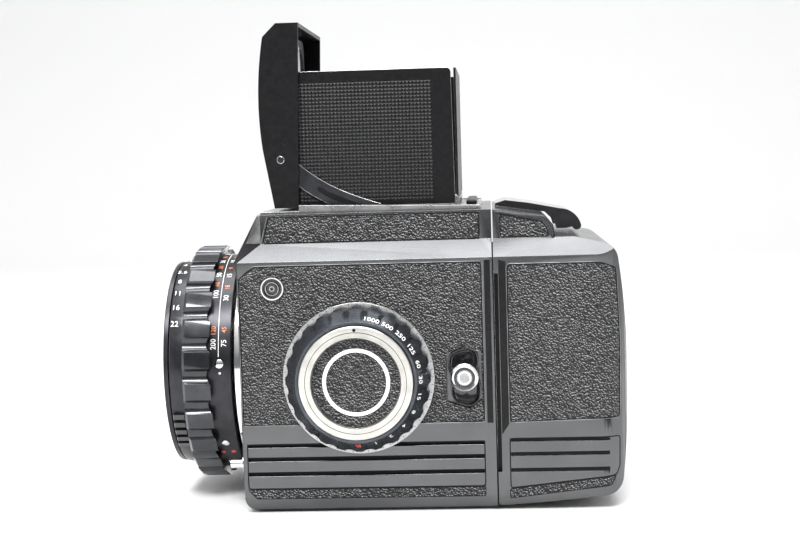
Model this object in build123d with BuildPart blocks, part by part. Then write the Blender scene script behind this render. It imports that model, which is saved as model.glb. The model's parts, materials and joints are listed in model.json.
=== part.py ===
"""A medium format single lens reflex camera with a waist level hood and a roll film back.

Millimetres. +Z is up and the lens looks towards -X, so the photographer stands at +X and the
photographer's left side is -Y. The origin is the mouth of the tripod socket in the base.
"""

import os

from build123d import *

os.makedirs("parts", exist_ok=True)

# Driving dimensions of the body
body_front = -38.0  # lens side of the body
body_rear = 38.0  # joint face towards the film back
body_half = 42.0  # half width of the lower body
upper_half = 37.0  # half width of the narrow upper section
shoulder_low = 76.0  # foot of the sloped shoulder
shoulder_high = 81.2  # top of the sloped shoulder
body_top = 90.0  # top of the upper section
wall = 2.8  # thickness of the castings' side walls
floor_thickness = 3.0
skin = 0.8  # thickness of leatherette
grip_depth = 1.6  # thickness of the ribbed grips
corner = 5.0  # rounding of the bottom edges
sides = ((1, "left"), (-1, "right"))  # the sign is the offset along Plane.XZ's normal, -Y

# Driving dimensions of the lens and its mount
lens_z = 41.5  # height of the optical axis
bayonet_r = 27.0  # bore of the body mount
barrel_r = 26.9  # lens tube sliding in it
sleeve_r = 28.9  # fixed sleeve that carries the focusing ring
mount_flange_r = 34.0
scale_r = 34.6  # distance scale ring
focus_r = 37.4  # over the lobes of the focusing ring
focus_lobes = 24
aperture_r = 32.6
filter_r = 31.0  # bore of the 62 mm front thread

# Driving dimensions of the hood, the dial and the film back
panel_half = 28.1  # mid plane of the hood's side panels
panel_thickness = 0.8
panel_top = 132.8
lid_half = 30.4
lid_top = 147.5
base_plate_top = 90.7
dial_x = -2.5
dial_z = 40.85
stud_x = 29.1
stud_z = 40.9
gate_half = 28.0  # half of the 56 mm square picture
back_front = 38.4
back_rear = 77.8
spool_z = {"takeup_spool": 21.0, "supply_spool": 62.0}
spool_x = 58.5

side_plane = Plane.XZ  # local x is X, local y is Z, and the normal is -Y
lens_plane = Plane(origin=(0, 0, lens_z), x_dir=(1, 0, 0), z_dir=(0, -1, 0))
lens_axis = Axis((0, 0, lens_z), (1, 0, 0))


def body_form():
    """The closed outer form of the body, before anything is cut from it."""
    with BuildPart() as form:
        with BuildSketch(Plane.YZ.offset(body_front)):
            with BuildLine():
                Polyline(
                    (-body_half, 0),
                    (body_half, 0),
                    (body_half, shoulder_low),
                    (upper_half, shoulder_high),
                    (upper_half, body_top),
                    (-upper_half, body_top),
                    (-upper_half, shoulder_high),
                    (-body_half, shoulder_low),
                    close=True,
                )
            make_face()
            fillet(vertices().group_by(Axis.Y)[0], corner)
        extrude(amount=body_rear - body_front)
        with BuildSketch(side_plane.offset(-body_half)):
            with BuildLine():
                Polyline(
                    (body_front, 0),
                    (body_rear, 0),
                    (body_rear, body_top),
                    (-31.4, body_top),
                    (-31.4, shoulder_high),
                    (body_front, shoulder_low),
                    close=True,
                )
            make_face()
            fillet(vertices().sort_by(Axis.Y)[:2].sort_by(Axis.X)[0], corner)
        extrude(amount=2 * body_half, mode=Mode.INTERSECT)
    return form.part


def back_form(inset=0.0):
    """The closed outer form of the film back, or the same form set in by a wall."""
    half = body_half - inset
    narrow = upper_half - inset
    with BuildPart() as form:
        with BuildSketch(Plane.YZ.offset(back_front)):
            with BuildLine():
                Polyline(
                    (-half, 0),
                    (half, 0),
                    (half, shoulder_low),
                    (narrow, shoulder_high),
                    (narrow, body_top),
                    (-narrow, body_top),
                    (-narrow, shoulder_high),
                    (-half, shoulder_low),
                    close=True,
                )
            make_face()
            fillet(vertices().group_by(Axis.Y)[0], corner)
        extrude(amount=back_rear - back_front)
        with BuildSketch(side_plane.offset(-body_half)):
            with BuildLine():
                low_edge = Polyline(
                    (back_front, body_top - 0.2 - inset),
                    (back_front, 1.8 + inset),
                    (39.0, 1.2 + inset),
                    (52.0, 2.2 + inset),
                    (75.2 - inset, 4.6 + inset),
                )
                rear_edge = ThreePointArc(
                    low_edge @ 1, (back_rear - inset, 44.0), (74.6 - inset, 78.6 - inset)
                )
                Polyline(
                    rear_edge @ 1,
                    (62.6, shoulder_high - inset),
                    (57.0 - inset, shoulder_high - inset),
                    (56.4 - inset, 84.9 - inset),
                    (54.0 - inset, 87.3 - inset),
                    low_edge @ 0,
                )
            make_face()
            corners = vertices().filter_by(lambda v: v.X > 70)
            fillet(corners, 5.5)
        extrude(amount=2 * body_half, mode=Mode.INTERSECT)
        with BuildSketch(Plane.XY):
            with BuildLine():
                Polyline(
                    (back_front, -half),
                    (back_front, half),
                    (back_rear - inset, half),
                    (back_rear - inset, -half),
                    close=True,
                )
            make_face()
            fillet(vertices().group_by(Axis.X)[-1], 9.0)
        extrude(amount=body_top, mode=Mode.INTERSECT)
    return form.part


def slab(plane, points, amount):
    """A straight prism with the given outline."""
    with BuildPart() as piece:
        with BuildSketch(plane):
            with BuildLine():
                Polyline(*points, close=True)
            make_face()
        extrude(amount=amount)
    return piece.part


def dome_middle(crown_x, rim_x, rim_r):
    """A point half way out on the sphere through a crown on the axis and a rim around it."""
    sag = rim_x - crown_x
    sphere_r = (rim_r**2 + sag**2) / (2 * sag)
    half = rim_r / 2
    return (crown_x + sphere_r - (abs(sphere_r) / sphere_r) * (sphere_r**2 - half**2) ** 0.5, half)


def rectangle_points(x_low, z_low, x_high, z_high):
    """The corners of a rectangle, in order."""
    return [(x_low, z_low), (x_high, z_low), (x_high, z_high), (x_low, z_high)]


# ---- Leatherette and ribbed trim let into the body's sides ----

side_leather_outline = [
    (body_front, 26.9),
    (34.8, 26.9),
    (34.8, 74.8),
    (-33.3, 74.8),
    (body_front, 71.0),
]
stud_window = [(23.6, 33.0), (30.5, 31.0), (34.2, 33.5), (34.2, 48.0), (27.0, 49.4), (23.6, 47.0)]
stud_floor = 40.0  # depth, from the middle, of the dished seat behind each strap stud
upper_leather_outline = [(-30.9, shoulder_high), (34.5, shoulder_high), (34.5, 89.4), (-28.8, 89.4)]
socket_x = -27.6
socket_z = 68.1
grip_front = -36.8
grip_rear = 34.6
grip_ribs = ((7.6, 11.5), (12.6, 16.0), (17.1, 20.2))
grip_top = 21.2
grip_plate = 0.5  # thickness of the plate that the ribs stand on
grip_outline = rectangle_points(grip_front, grip_ribs[0][0], grip_rear, grip_top)

trim = {}
for sign, side in sides:
    with BuildPart() as side_leather:
        with BuildSketch(side_plane.offset(sign * (body_half - skin))):
            with BuildLine():
                Polyline(*side_leather_outline, close=True)
            make_face()
            with BuildLine(mode=Mode.PRIVATE) as window:
                Polyline(*stud_window, close=True)
            add(make_face(window.edges(), mode=Mode.PRIVATE), mode=Mode.SUBTRACT)
            if side == "left":
                with Locations((socket_x, socket_z)):
                    Circle(3.6, mode=Mode.SUBTRACT)
            else:
                with Locations((dial_x, dial_z)):
                    Circle(3.1, mode=Mode.SUBTRACT)
        extrude(amount=sign * skin)
    side_leather.part.label = f"side_leather_{side}"
    export_step(side_leather.part, f"parts/side_leather_{side}.step")
    trim[f"side_leather_{side}"] = side_leather.part

    with BuildPart() as upper_leather:
        with BuildSketch(side_plane.offset(sign * (upper_half - 0.6))):
            with BuildLine():
                Polyline(*upper_leather_outline, close=True)
            make_face()
        extrude(amount=sign * 0.6)
    upper_leather.part.label = f"upper_leather_{side}"
    export_step(upper_leather.part, f"parts/upper_leather_{side}.step")
    trim[f"upper_leather_{side}"] = upper_leather.part

    # Broad ribs stand on a thin plate, with a narrow groove between each pair.
    with BuildPart() as side_grip:
        with BuildSketch(side_plane.offset(sign * (body_half - grip_depth))):
            with BuildLine():
                Polyline(*grip_outline, close=True)
            make_face()
        extrude(amount=sign * grip_plate)
        with BuildSketch(side_plane.offset(sign * (body_half - grip_depth + grip_plate))):
            for low, high in grip_ribs:
                with Locations(((grip_front + grip_rear) / 2, (low + high) / 2)):
                    Rectangle(grip_rear - grip_front, high - low)
        extrude(amount=sign * (grip_depth - grip_plate))
    side_grip.part.label = f"side_grip_{side}"
    export_step(side_grip.part, f"parts/side_grip_{side}.step")
    trim[f"side_grip_{side}"] = side_grip.part

# ---- Base plate and tripod socket ----

socket_bush_r = 9.0
tripod_r = 3.175  # quarter inch thread
tripod_depth = 8.0

with BuildPart() as tripod_socket:
    with BuildSketch(Plane.XY):
        Circle(socket_bush_r)
        Circle(tripod_r, mode=Mode.SUBTRACT)
    extrude(amount=tripod_depth)
tripod_socket.part.label = "tripod_socket"
export_step(tripod_socket.part, "parts/tripod_socket.step")

with BuildPart() as base_plate:
    with BuildSketch(Plane.XY):
        with Locations((4.0, 0)):
            RectangleRounded(58, 60, 4)
        Circle(socket_bush_r, mode=Mode.SUBTRACT)
    extrude(amount=1.0)
base_plate.part.label = "base_plate"
export_step(base_plate.part, "parts/base_plate.step")

# ---- Body casting ----

with BuildPart() as body_shell:
    add(body_form())
    for piece in trim.values():
        add(piece, mode=Mode.SUBTRACT)
    for sign, side in sides:
        pocket = side_plane.offset(sign * (body_half - grip_depth))
        add(slab(pocket, grip_outline, sign * 3), mode=Mode.SUBTRACT)
    add(base_plate.part, mode=Mode.SUBTRACT)
    # The main chamber, open to the rear, and the finder well above it
    with BuildSketch(Plane.YZ.offset(body_front + 2.5)):
        with Locations((0, (floor_thickness + 73.5) / 2)):
            Rectangle(2 * (body_half - wall), 73.5 - floor_thickness)
        with Locations((0, 80.5)):
            Rectangle(2 * (upper_half - wall), 14.9)
    extrude(amount=body_rear - body_front, mode=Mode.SUBTRACT)
    with BuildSketch(Plane.XY.offset(70)):
        with Locations((0.5, 0)):
            Rectangle(50, 54)
    extrude(amount=25, mode=Mode.SUBTRACT)
    # Hole for the lens mount's sleeve
    with BuildSketch(Plane.YZ.offset(body_front)):
        with Locations((0, lens_z)):
            Circle(sleeve_r)
    extrude(amount=5, mode=Mode.SUBTRACT)
    with BuildSketch(Plane.XY):
        Circle(socket_bush_r)
    extrude(amount=6, mode=Mode.SUBTRACT)
    for sign, side in sides:
        add(
            slab(side_plane.offset(sign * stud_floor), stud_window, sign * 3),
            mode=Mode.SUBTRACT,
        )
    # Seat of the flash socket
    with BuildSketch(side_plane.offset(body_half - skin)):
        with Locations((socket_x, socket_z)):
            Circle(3.6)
    extrude(amount=skin, mode=Mode.SUBTRACT)
    # Bearing for the winding shaft, and the well of the shutter release
    with BuildSketch(side_plane.offset(-body_half)):
        with Locations((dial_x, dial_z)):
            Circle(3.1)
    extrude(amount=4, mode=Mode.SUBTRACT)
    with BuildSketch(Plane.YZ.offset(body_front)):
        with Locations((-30.0, 13.2)):
            Circle(1.6)
    extrude(amount=5, mode=Mode.SUBTRACT)
body_shell.part.label = "body_shell"
export_step(body_shell.part, "parts/body_shell.step")

# ---- Front panel with its sloping brow, and the lens mount flange ----

panel_face = body_front - 1.2
panel_half_width = 36.4

with BuildPart() as front_panel:
    with BuildSketch(side_plane.offset(-panel_half_width)):
        with BuildLine():
            Polyline(
                (body_front, 6.0),
                (body_front, shoulder_low),
                (-31.4, shoulder_high),
                (-31.4, body_top),
                (-32.2, body_top),
                (-40.0, 75.5),
                (panel_face, 72.0),
                (panel_face, 7.0),
                close=True,
            )
        make_face()
    extrude(amount=2 * panel_half_width)
    with BuildSketch(Plane.YZ.offset(body_front - 6)):
        with Locations((0, lens_z)):
            Circle(mount_flange_r + 0.05)
        with Locations((-30.0, 13.2)):
            Circle(3.0)
    extrude(amount=6, mode=Mode.SUBTRACT)
    chamfer(edges().filter_by(Axis.X).group_by(Axis.Z)[-1], 0.4)
front_panel.part.label = "front_panel"
export_step(front_panel.part, "parts/front_panel.step")

with BuildPart() as release_collar:
    with BuildSketch(Plane.YZ.offset(body_front)):
        with Locations((-30.0, 13.2)):
            Circle(3.0)
            Circle(1.6, mode=Mode.SUBTRACT)
    extrude(amount=-2.0)
release_collar.part.label = "release_collar"
export_step(release_collar.part, "parts/release_collar.step")

# The button is a plain pin with a small threaded hole for a cable release in its tip.
with BuildPart() as release_button:
    with BuildSketch(Plane.YZ.offset(-44.0)):
        with Locations((-30.0, 13.2)):
            Circle(1.5)
    extrude(amount=8.0)
    with BuildSketch(Plane.YZ.offset(-44.0)):
        with Locations((-30.0, 13.2)):
            Circle(0.6)
    extrude(amount=3.0, mode=Mode.SUBTRACT)
release_button.part.label = "release_button"
export_step(release_button.part, "parts/release_button.step")

with BuildPart() as mount_ring:
    with BuildSketch(lens_plane):
        with BuildLine():
            Polyline(
                (-50.4, bayonet_r),
                (-50.4, sleeve_r),
                (-41.8, sleeve_r),
                (-41.8, mount_flange_r - 0.6),
                (-41.2, mount_flange_r),
                (body_front, mount_flange_r),
                (body_front, sleeve_r),
                (-35.5, sleeve_r),
                (-35.5, bayonet_r),
                close=True,
            )
        make_face()
    revolve(axis=lens_axis)
mount_ring.part.label = "mount_ring"
export_step(mount_ring.part, "parts/mount_ring.step")

# ---- Lens ----

focus_back = -50.8

with BuildPart() as distance_scale:
    with BuildSketch(lens_plane):
        with BuildLine():
            Polyline(
                (focus_back, sleeve_r + 0.1),
                (focus_back, scale_r),
                (-42.4, scale_r),
                (-42.1, scale_r - 0.3),
                (-42.1, sleeve_r + 0.1),
                close=True,
            )
        make_face()
    revolve(axis=lens_axis)
distance_scale.part.label = "distance_scale"
export_step(distance_scale.part, "parts/distance_scale.step")

valley_r = 2.7
valley_depth = 1.4
valley_ring_r = focus_r + valley_r - valley_depth

with BuildPart() as focus_ring:
    with BuildSketch(lens_plane):
        with BuildLine():
            Polyline(
                (-57.0, 30.4),
                (-57.0, focus_r - 0.9),
                (-56.1, focus_r),
                (-48.2, focus_r),
                (focus_back, scale_r),
                (focus_back, 30.4),
                close=True,
            )
        make_face()
    revolve(axis=lens_axis)
    with BuildSketch(Plane.YZ.offset(-58.0)):
        with Locations((0, lens_z)):
            with PolarLocations(valley_ring_r, focus_lobes):
                Circle(valley_r)
    extrude(amount=12, mode=Mode.SUBTRACT)
focus_ring.part.label = "focus_ring"
export_step(focus_ring.part, "parts/focus_ring.step")

barrel_front_r = 28.8

with BuildPart() as lens_barrel:
    with BuildSketch(lens_plane):
        with BuildLine():
            Polyline(
                (-62.0, 27.6),
                (-62.0, barrel_front_r),
                (-57.2, barrel_front_r),
                (-57.2, barrel_r),
                (-34.0, barrel_r),
                (-34.0, 20.5),
                (-52.0, 20.5),
                (-54.0, 24.2),
                (-58.0, 24.2),
                close=True,
            )
        make_face()
    revolve(axis=lens_axis)
lens_barrel.part.label = "lens_barrel"
export_step(lens_barrel.part, "parts/lens_barrel.step")

# The front rim carries the filter thread and is wide enough to hide the aperture ring's edge.
with BuildPart() as front_rim:
    with BuildSketch(lens_plane):
        with BuildLine():
            Polyline(
                (-63.6, filter_r),
                (-63.6, 32.2),
                (-63.3, 32.4),
                (-62.2, 32.4),
                (-62.2, barrel_front_r),
                (-62.0, barrel_front_r),
                (-62.0, 27.6),
                (-62.4, 28.2),
                (-62.4, filter_r),
                close=True,
            )
        make_face()
    revolve(axis=lens_axis)
front_rim.part.label = "front_rim"
export_step(front_rim.part, "parts/front_rim.step")

with BuildPart() as aperture_ring:
    with BuildSketch(lens_plane):
        with BuildLine():
            Polyline(
                (-61.9, barrel_front_r + 0.1),
                (-61.9, aperture_r - 0.3),
                (-61.6, aperture_r),
                (-57.6, aperture_r + 0.6),
                (-57.3, aperture_r + 0.3),
                (-57.3, barrel_front_r + 0.1),
                close=True,
            )
        make_face()
    revolve(axis=lens_axis)
aperture_ring.part.label = "aperture_ring"
export_step(aperture_ring.part, "parts/aperture_ring.step")

# Convex front glass, standing in the mouth of the barrel
with BuildPart() as front_element:
    with BuildSketch(lens_plane):
        with BuildLine():
            flat = Polyline((-59.5, 0.0), (-54.5, 0.0), (-54.5, 24.1), (-57.0, 24.1))
            ThreePointArc(flat @ 1, dome_middle(-59.5, -57.0, 24.1), flat @ 0)
        make_face()
    revolve(axis=lens_axis)
front_element.part.label = "front_element"
export_step(front_element.part, "parts/front_element.step")

with BuildPart() as rear_element:
    with BuildSketch(lens_plane):
        with BuildLine():
            flat = Polyline((-34.4, 0.0), (-38.0, 0.0), (-38.0, 20.5), (-36.4, 20.5))
            ThreePointArc(flat @ 1, dome_middle(-34.4, -36.4, 20.5), flat @ 0)
        make_face()
    revolve(axis=lens_axis)
rear_element.part.label = "rear_element"
export_step(rear_element.part, "parts/rear_element.step")

iris_blades = 7

with BuildPart() as iris:
    with BuildSketch(Plane.YZ.offset(-47.0)):
        with Locations((0, lens_z)):
            Circle(20.5)
            RegularPolygon(13.0, iris_blades, mode=Mode.SUBTRACT)
    extrude(amount=0.8)
iris.part.label = "iris"
export_step(iris.part, "parts/iris.step")

# ---- Mirror chamber, screen, mirror and shutter ----

chamber_half = 30.5  # inner faces of the mirror chamber's cheeks
cheek = 1.5
mirror_hinge_x = 30.5
mirror_hinge_z = 64.5
mirror_length = 58.0
drum_x = 32.2
drum_r = 2.6
drum_z = {"shutter_drum_upper": 72.5, "shutter_drum_lower": 10.6}
journal_r = 1.0
running = 0.05  # radial clearance of the small journals

cheek_outline = [(-33.0, 11.0), (27.5, 11.0), (27.5, 7.0), (35.0, 7.0), (35.0, 76.0), (-33.0, 76.0)]
ledge = 1.4

with BuildPart() as mirror_box:
    for sign in (1, -1):
        with BuildSketch(side_plane.offset(sign * chamber_half)):
            with BuildLine():
                Polyline(*cheek_outline, close=True)
            make_face()
            for height in drum_z.values():
                with Locations((drum_x, height)):
                    Circle(journal_r + running, mode=Mode.SUBTRACT)
            with Locations((mirror_hinge_x, mirror_hinge_z)):
                Circle(journal_r + running, mode=Mode.SUBTRACT)
        extrude(amount=sign * cheek)
        with BuildSketch(Plane.YZ.offset(-30.0)):
            with Locations((-sign * (chamber_half - ledge / 2), 72.2)):
                Rectangle(ledge, 1.6)
        extrude(amount=58)
    with BuildSketch(Plane.XY.offset(9.5)):
        with Locations((-2.75, 0)):
            Rectangle(60.5, 2 * (chamber_half + cheek))
    extrude(amount=1.5)
mirror_box.part.label = "mirror_box"
export_step(mirror_box.part, "parts/mirror_box.step")

with BuildPart() as focusing_screen:
    with BuildSketch(Plane.XY.offset(73.0)):
        with Locations((-1.2, 0)):
            Rectangle(57.0, 2 * chamber_half)
    extrude(amount=1.6)
focusing_screen.part.label = "focusing_screen"
export_step(focusing_screen.part, "parts/focusing_screen.step")

mirror_plane = Plane(
    origin=(mirror_hinge_x, 0, mirror_hinge_z), x_dir=(-1, 0, -1), z_dir=(-1, 0, 1)
)
mirror_half = 28.6

with BuildPart() as mirror_plate:
    with BuildSketch(mirror_plane):
        with Locations((1.0 + mirror_length / 2, 0)):
            Rectangle(mirror_length, 2 * mirror_half)
    extrude(amount=1.5)
    with BuildSketch(side_plane.offset(-mirror_half)):
        with Locations((mirror_hinge_x, mirror_hinge_z)):
            Circle(1.7)
    extrude(amount=2 * mirror_half)
    with BuildSketch(side_plane.offset(-chamber_half - cheek)):
        with Locations((mirror_hinge_x, mirror_hinge_z)):
            Circle(journal_r)
    extrude(amount=2 * (chamber_half + cheek))
mirror_plate.part.label = "mirror_plate"
export_step(mirror_plate.part, "parts/mirror_plate.step")

with BuildPart() as mirror_glass:
    with BuildSketch(mirror_plane.offset(1.5)):
        with Locations((3.5 + 54.0 / 2, 0)):
            Rectangle(54.0, 2 * mirror_half - 2)
    extrude(amount=1.8)
mirror_glass.part.label = "mirror_glass"
export_step(mirror_glass.part, "parts/mirror_glass.step")

for name, height in drum_z.items():
    with BuildPart() as shutter_drum:
        with BuildSketch(side_plane.offset(-(chamber_half - 0.4))):
            with Locations((drum_x, height)):
                Circle(drum_r)
        extrude(amount=2 * (chamber_half - 0.4))
        with BuildSketch(side_plane.offset(-(chamber_half + cheek))):
            with Locations((drum_x, height)):
                Circle(journal_r)
        extrude(amount=2 * (chamber_half + cheek))
        # A spur gear on the left end is driven by the winding train.
        with BuildSketch(side_plane.offset(chamber_half + cheek + 0.3)):
            with Locations((drum_x, height)):
                Circle(3.2)
                with PolarLocations(3.2, 12):
                    Circle(0.45, mode=Mode.SUBTRACT)
        extrude(amount=1.4)
        with BuildSketch(side_plane.offset(chamber_half + cheek)):
            with Locations((drum_x, height)):
                Circle(journal_r)
        extrude(amount=0.4)
    shutter_drum.part.label = name
    export_step(shutter_drum.part, f"parts/{name}.step")

curtain_width = 2 * (chamber_half - 1.0)
curtain_height = drum_z["shutter_drum_upper"] - drum_z["shutter_drum_lower"]

with BuildPart() as shutter_curtain:
    with BuildSketch(Plane.YZ.offset(35.15)):
        with Locations((0, (drum_z["shutter_drum_upper"] + drum_z["shutter_drum_lower"]) / 2)):
            Rectangle(curtain_width, curtain_height)
    extrude(amount=0.3)
shutter_curtain.part.label = "shutter_curtain"
export_step(shutter_curtain.part, "parts/shutter_curtain.step")

with BuildPart() as film_gate:
    with BuildSketch(Plane.YZ.offset(35.6)):
        with Locations((0, (floor_thickness + 73.5) / 2)):
            Rectangle(2 * (body_half - wall), 73.5 - floor_thickness)
        with Locations((0, 80.5)):
            Rectangle(2 * (upper_half - wall), 14.9)
        with Locations((0, lens_z)):
            Rectangle(2 * gate_half, 2 * gate_half, mode=Mode.SUBTRACT)
    extrude(amount=2.4)
film_gate.part.label = "film_gate"
export_step(film_gate.part, "parts/film_gate.step")

# ---- Fittings on the sides ----

with BuildPart() as pc_socket:
    with BuildSketch(side_plane.offset(body_half - skin)):
        with Locations((socket_x, socket_z)):
            Circle(3.6)
    extrude(amount=1.4)
    with BuildSketch(side_plane.offset(body_half - skin + 0.5)):
        with Locations((socket_x, socket_z)):
            Circle(2.6)
            Circle(1.5, mode=Mode.SUBTRACT)
            Circle(0.6)
    extrude(amount=0.9, mode=Mode.SUBTRACT)
pc_socket.part.label = "pc_socket"
export_step(pc_socket.part, "parts/pc_socket.step")

for sign, side in sides:
    with BuildPart() as strap_stud:
        with BuildSketch(side_plane.offset(sign * stud_floor)):
            with Locations((stud_x, stud_z)):
                Circle(2.9)
        extrude(amount=sign * 1.0)
        with BuildSketch(side_plane.offset(sign * (stud_floor + 1.0))):
            with Locations((stud_x, stud_z)):
                Circle(2.0)
        extrude(amount=sign * 4.0)
        with BuildSketch(side_plane.offset(sign * (stud_floor + 4.6))):
            with Locations((stud_x, stud_z)):
                Circle(4.3)
        extrude(amount=sign * 2.4)
        fillet(edges().filter_by(GeomType.CIRCLE).sort_by(Axis.Y)[0 if sign == 1 else -1], 1.0)
    strap_stud.part.label = f"strap_stud_{side}"
    export_step(strap_stud.part, f"parts/strap_stud_{side}.step")

dial_plate_r = 22.7
dial_scallops = 24
hub_r = 16.8
cover_r = 13.1

with BuildPart() as dial_plate:
    with BuildSketch(side_plane.offset(body_half)):
        with Locations((dial_x, dial_z)):
            Circle(dial_plate_r)
    extrude(amount=1.0)
dial_plate.part.label = "dial_plate"
export_step(dial_plate.part, "parts/dial_plate.step")

dial_axis = Axis((dial_x, 0, dial_z), (0, -1, 0))
dial_section = Plane(origin=(dial_x, 0, dial_z), x_dir=(1, 0, 0), z_dir=(0, 0, 1))

# In the dial's section the local x is the radius, and the local y is Y, so outward is negative.
with BuildPart() as speed_dial:
    with BuildSketch(dial_section):
        with BuildLine():
            Polyline(
                (17.1, -43.3),
                (21.6, -43.3),
                (21.6, -45.8),
                (20.8, -47.2),
                (17.9, -52.0),
                (17.1, -52.0),
                close=True,
            )
        make_face()
    revolve(axis=dial_axis)
    with BuildSketch(side_plane.offset(body_half + 1.0)):
        with Locations((dial_x, dial_z)):
            with PolarLocations(23.2, dial_scallops, start_angle=180 / dial_scallops):
                Circle(2.4)
    extrude(amount=12, mode=Mode.SUBTRACT)
speed_dial.part.label = "speed_dial"
export_step(speed_dial.part, "parts/speed_dial.step")

# The fixed bayonet ring takes an accessory, and four shallow bays pass its claws.
bay_r = 14.9
bay_angle = 43
with BuildPart() as dial_ring:
    with BuildSketch(dial_section):
        with BuildLine():
            Polyline(
                (0.0, -43.0),
                (hub_r, -43.0),
                (hub_r, -53.2),
                (hub_r - 0.3, -53.5),
                (cover_r, -53.5),
                (cover_r, -49.3),
                (0.0, -49.3),
                close=True,
            )
        make_face()
    revolve(axis=dial_axis)
    with BuildSketch(side_plane.offset(51.4)):
        with Locations((dial_x, dial_z)):
            for start in (24, 114, 204, 294):
                with BuildLine():
                    outer = CenterArc((0, 0), bay_r, start, bay_angle)
                    inner = CenterArc((0, 0), cover_r - 0.5, start, bay_angle)
                    Line(outer @ 0, inner @ 0)
                    Line(outer @ 1, inner @ 1)
                make_face()
    extrude(amount=3, mode=Mode.SUBTRACT)
dial_ring.part.label = "dial_ring"
export_step(dial_ring.part, "parts/dial_ring.step")

with BuildPart() as dial_cover:
    with BuildSketch(side_plane.offset(49.3)):
        with Locations((dial_x, dial_z)):
            Circle(cover_r)
    extrude(amount=2.0)
dial_cover.part.label = "dial_cover"
export_step(dial_cover.part, "parts/dial_cover.step")

# ---- Winding knob on the right with its folding crank ----

knob_r = 16.0
knob_low = 42.6
knob_high = 49.0
crank_hinge_x = -14.5
crank_hinge_y = 51.0
handle_x = 8.0
handle_r = 3.8

with BuildPart() as winding_knob:
    with BuildSketch(side_plane.offset(-knob_low)):
        with Locations((dial_x, dial_z)):
            Circle(knob_r)
            with PolarLocations(knob_r, 36):
                Circle(0.5, mode=Mode.SUBTRACT)
    extrude(amount=-(knob_high - knob_low))
    with BuildSketch(side_plane.offset(-knob_low)):
        with Locations((dial_x, dial_z)):
            Circle(3.0)
    extrude(amount=5.6)
    # Slot that takes the folded handle
    with BuildSketch(side_plane.offset(-(knob_low + 1.0))):
        with Locations((3.2 + 7.0, dial_z)):
            Rectangle(14.0, 9.4)
    extrude(amount=-8, mode=Mode.SUBTRACT)
    # Two lugs carry the crank's hinge pin
    for sign in (1, -1):
        with BuildSketch(Plane.XY.offset(dial_z + sign * 5.0)):
            with BuildLine():
                foot = Polyline(
                    (crank_hinge_x + 1.9, crank_hinge_y),
                    (crank_hinge_x + 1.9, knob_high - 0.3),
                    (crank_hinge_x - 1.9, knob_high - 0.3),
                    (crank_hinge_x - 1.9, crank_hinge_y),
                )
                ThreePointArc(foot @ 1, (crank_hinge_x, crank_hinge_y + 1.9), foot @ 0)
            make_face()
            with Locations((crank_hinge_x, crank_hinge_y)):
                Circle(journal_r + running, mode=Mode.SUBTRACT)
        extrude(amount=sign * 1.5)
winding_knob.part.label = "winding_knob"
export_step(winding_knob.part, "parts/winding_knob.step")

with BuildPart() as crank_arm:
    with BuildSketch(side_plane.offset(-(crank_hinge_y - 1.3))):
        with Locations(((crank_hinge_x + 12.6) / 2, dial_z)):
            Rectangle(12.6 - crank_hinge_x, 8.4)
        with Locations((handle_x, dial_z)):
            Circle(journal_r + running, mode=Mode.SUBTRACT)
    extrude(amount=-1.8)
    with BuildSketch(Plane.XY.offset(dial_z - 4.6)):
        with Locations((crank_hinge_x, crank_hinge_y)):
            Circle(1.6)
    extrude(amount=9.2)
    with BuildSketch(Plane.XY.offset(dial_z - 6.5)):
        with Locations((crank_hinge_x, crank_hinge_y)):
            Circle(journal_r)
    extrude(amount=13.0)
crank_arm.part.label = "crank_arm"
export_step(crank_arm.part, "parts/crank_arm.step")

# The handle hangs under the folded arm, and its rivet passes through the arm to a flat head.
with BuildPart() as crank_handle:
    with BuildSketch(side_plane.offset(-44.2)):
        with Locations((handle_x, dial_z)):
            Circle(handle_r)
    extrude(amount=-(49.4 - 44.2))
    with BuildSketch(side_plane.offset(-49.4)):
        with Locations((handle_x, dial_z)):
            Circle(journal_r)
    extrude(amount=-2.4)
    with BuildSketch(side_plane.offset(-51.8)):
        with Locations((handle_x, dial_z)):
            Circle(2.0)
    extrude(amount=-0.6)
crank_handle.part.label = "crank_handle"
export_step(crank_handle.part, "parts/crank_handle.step")

# ---- Waist level hood ----

panel_front = -20.5
panel_rear = 27.2
left_hinge_z = 92.0
right_hinge_z = 93.2
rear_hinge_z = 94.4
rear_panel_x = 28.1

with BuildPart() as hood_base:
    with BuildSketch(Plane.XY.offset(body_top)):
        with Locations((1.7, 0)):
            Rectangle(66.6, 68.0)
        with Locations((0.5, 0)):
            Rectangle(50.0, 54.0, mode=Mode.SUBTRACT)
    extrude(amount=base_plate_top - body_top)
    # Polished side strips, higher at the front than at the rear
    for sign in (1, -1):
        with BuildSketch(side_plane.offset(sign * 31.5)):
            with BuildLine():
                Polyline(
                    (-19.8, base_plate_top), (34.8, base_plate_top), (34.8, 91.2), (-19.8, 92.5), close=True
                )
            make_face()
        extrude(amount=sign * 2.5)
    # Rails under the right panel and the rear panel
    with BuildSketch(Plane.XY.offset(base_plate_top)):
        with Locations(((panel_front + panel_rear) / 2, panel_half)):
            Rectangle(panel_rear - panel_front, panel_thickness)
    extrude(amount=right_hinge_z - 0.8 - base_plate_top)
    with BuildSketch(Plane.XY.offset(base_plate_top)):
        with Locations((rear_panel_x, 0)):
            Rectangle(panel_thickness, 54.0)
    extrude(amount=rear_hinge_z - 0.8 - base_plate_top)
hood_base.part.label = "hood_base"
export_step(hood_base.part, "parts/hood_base.step")

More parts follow.
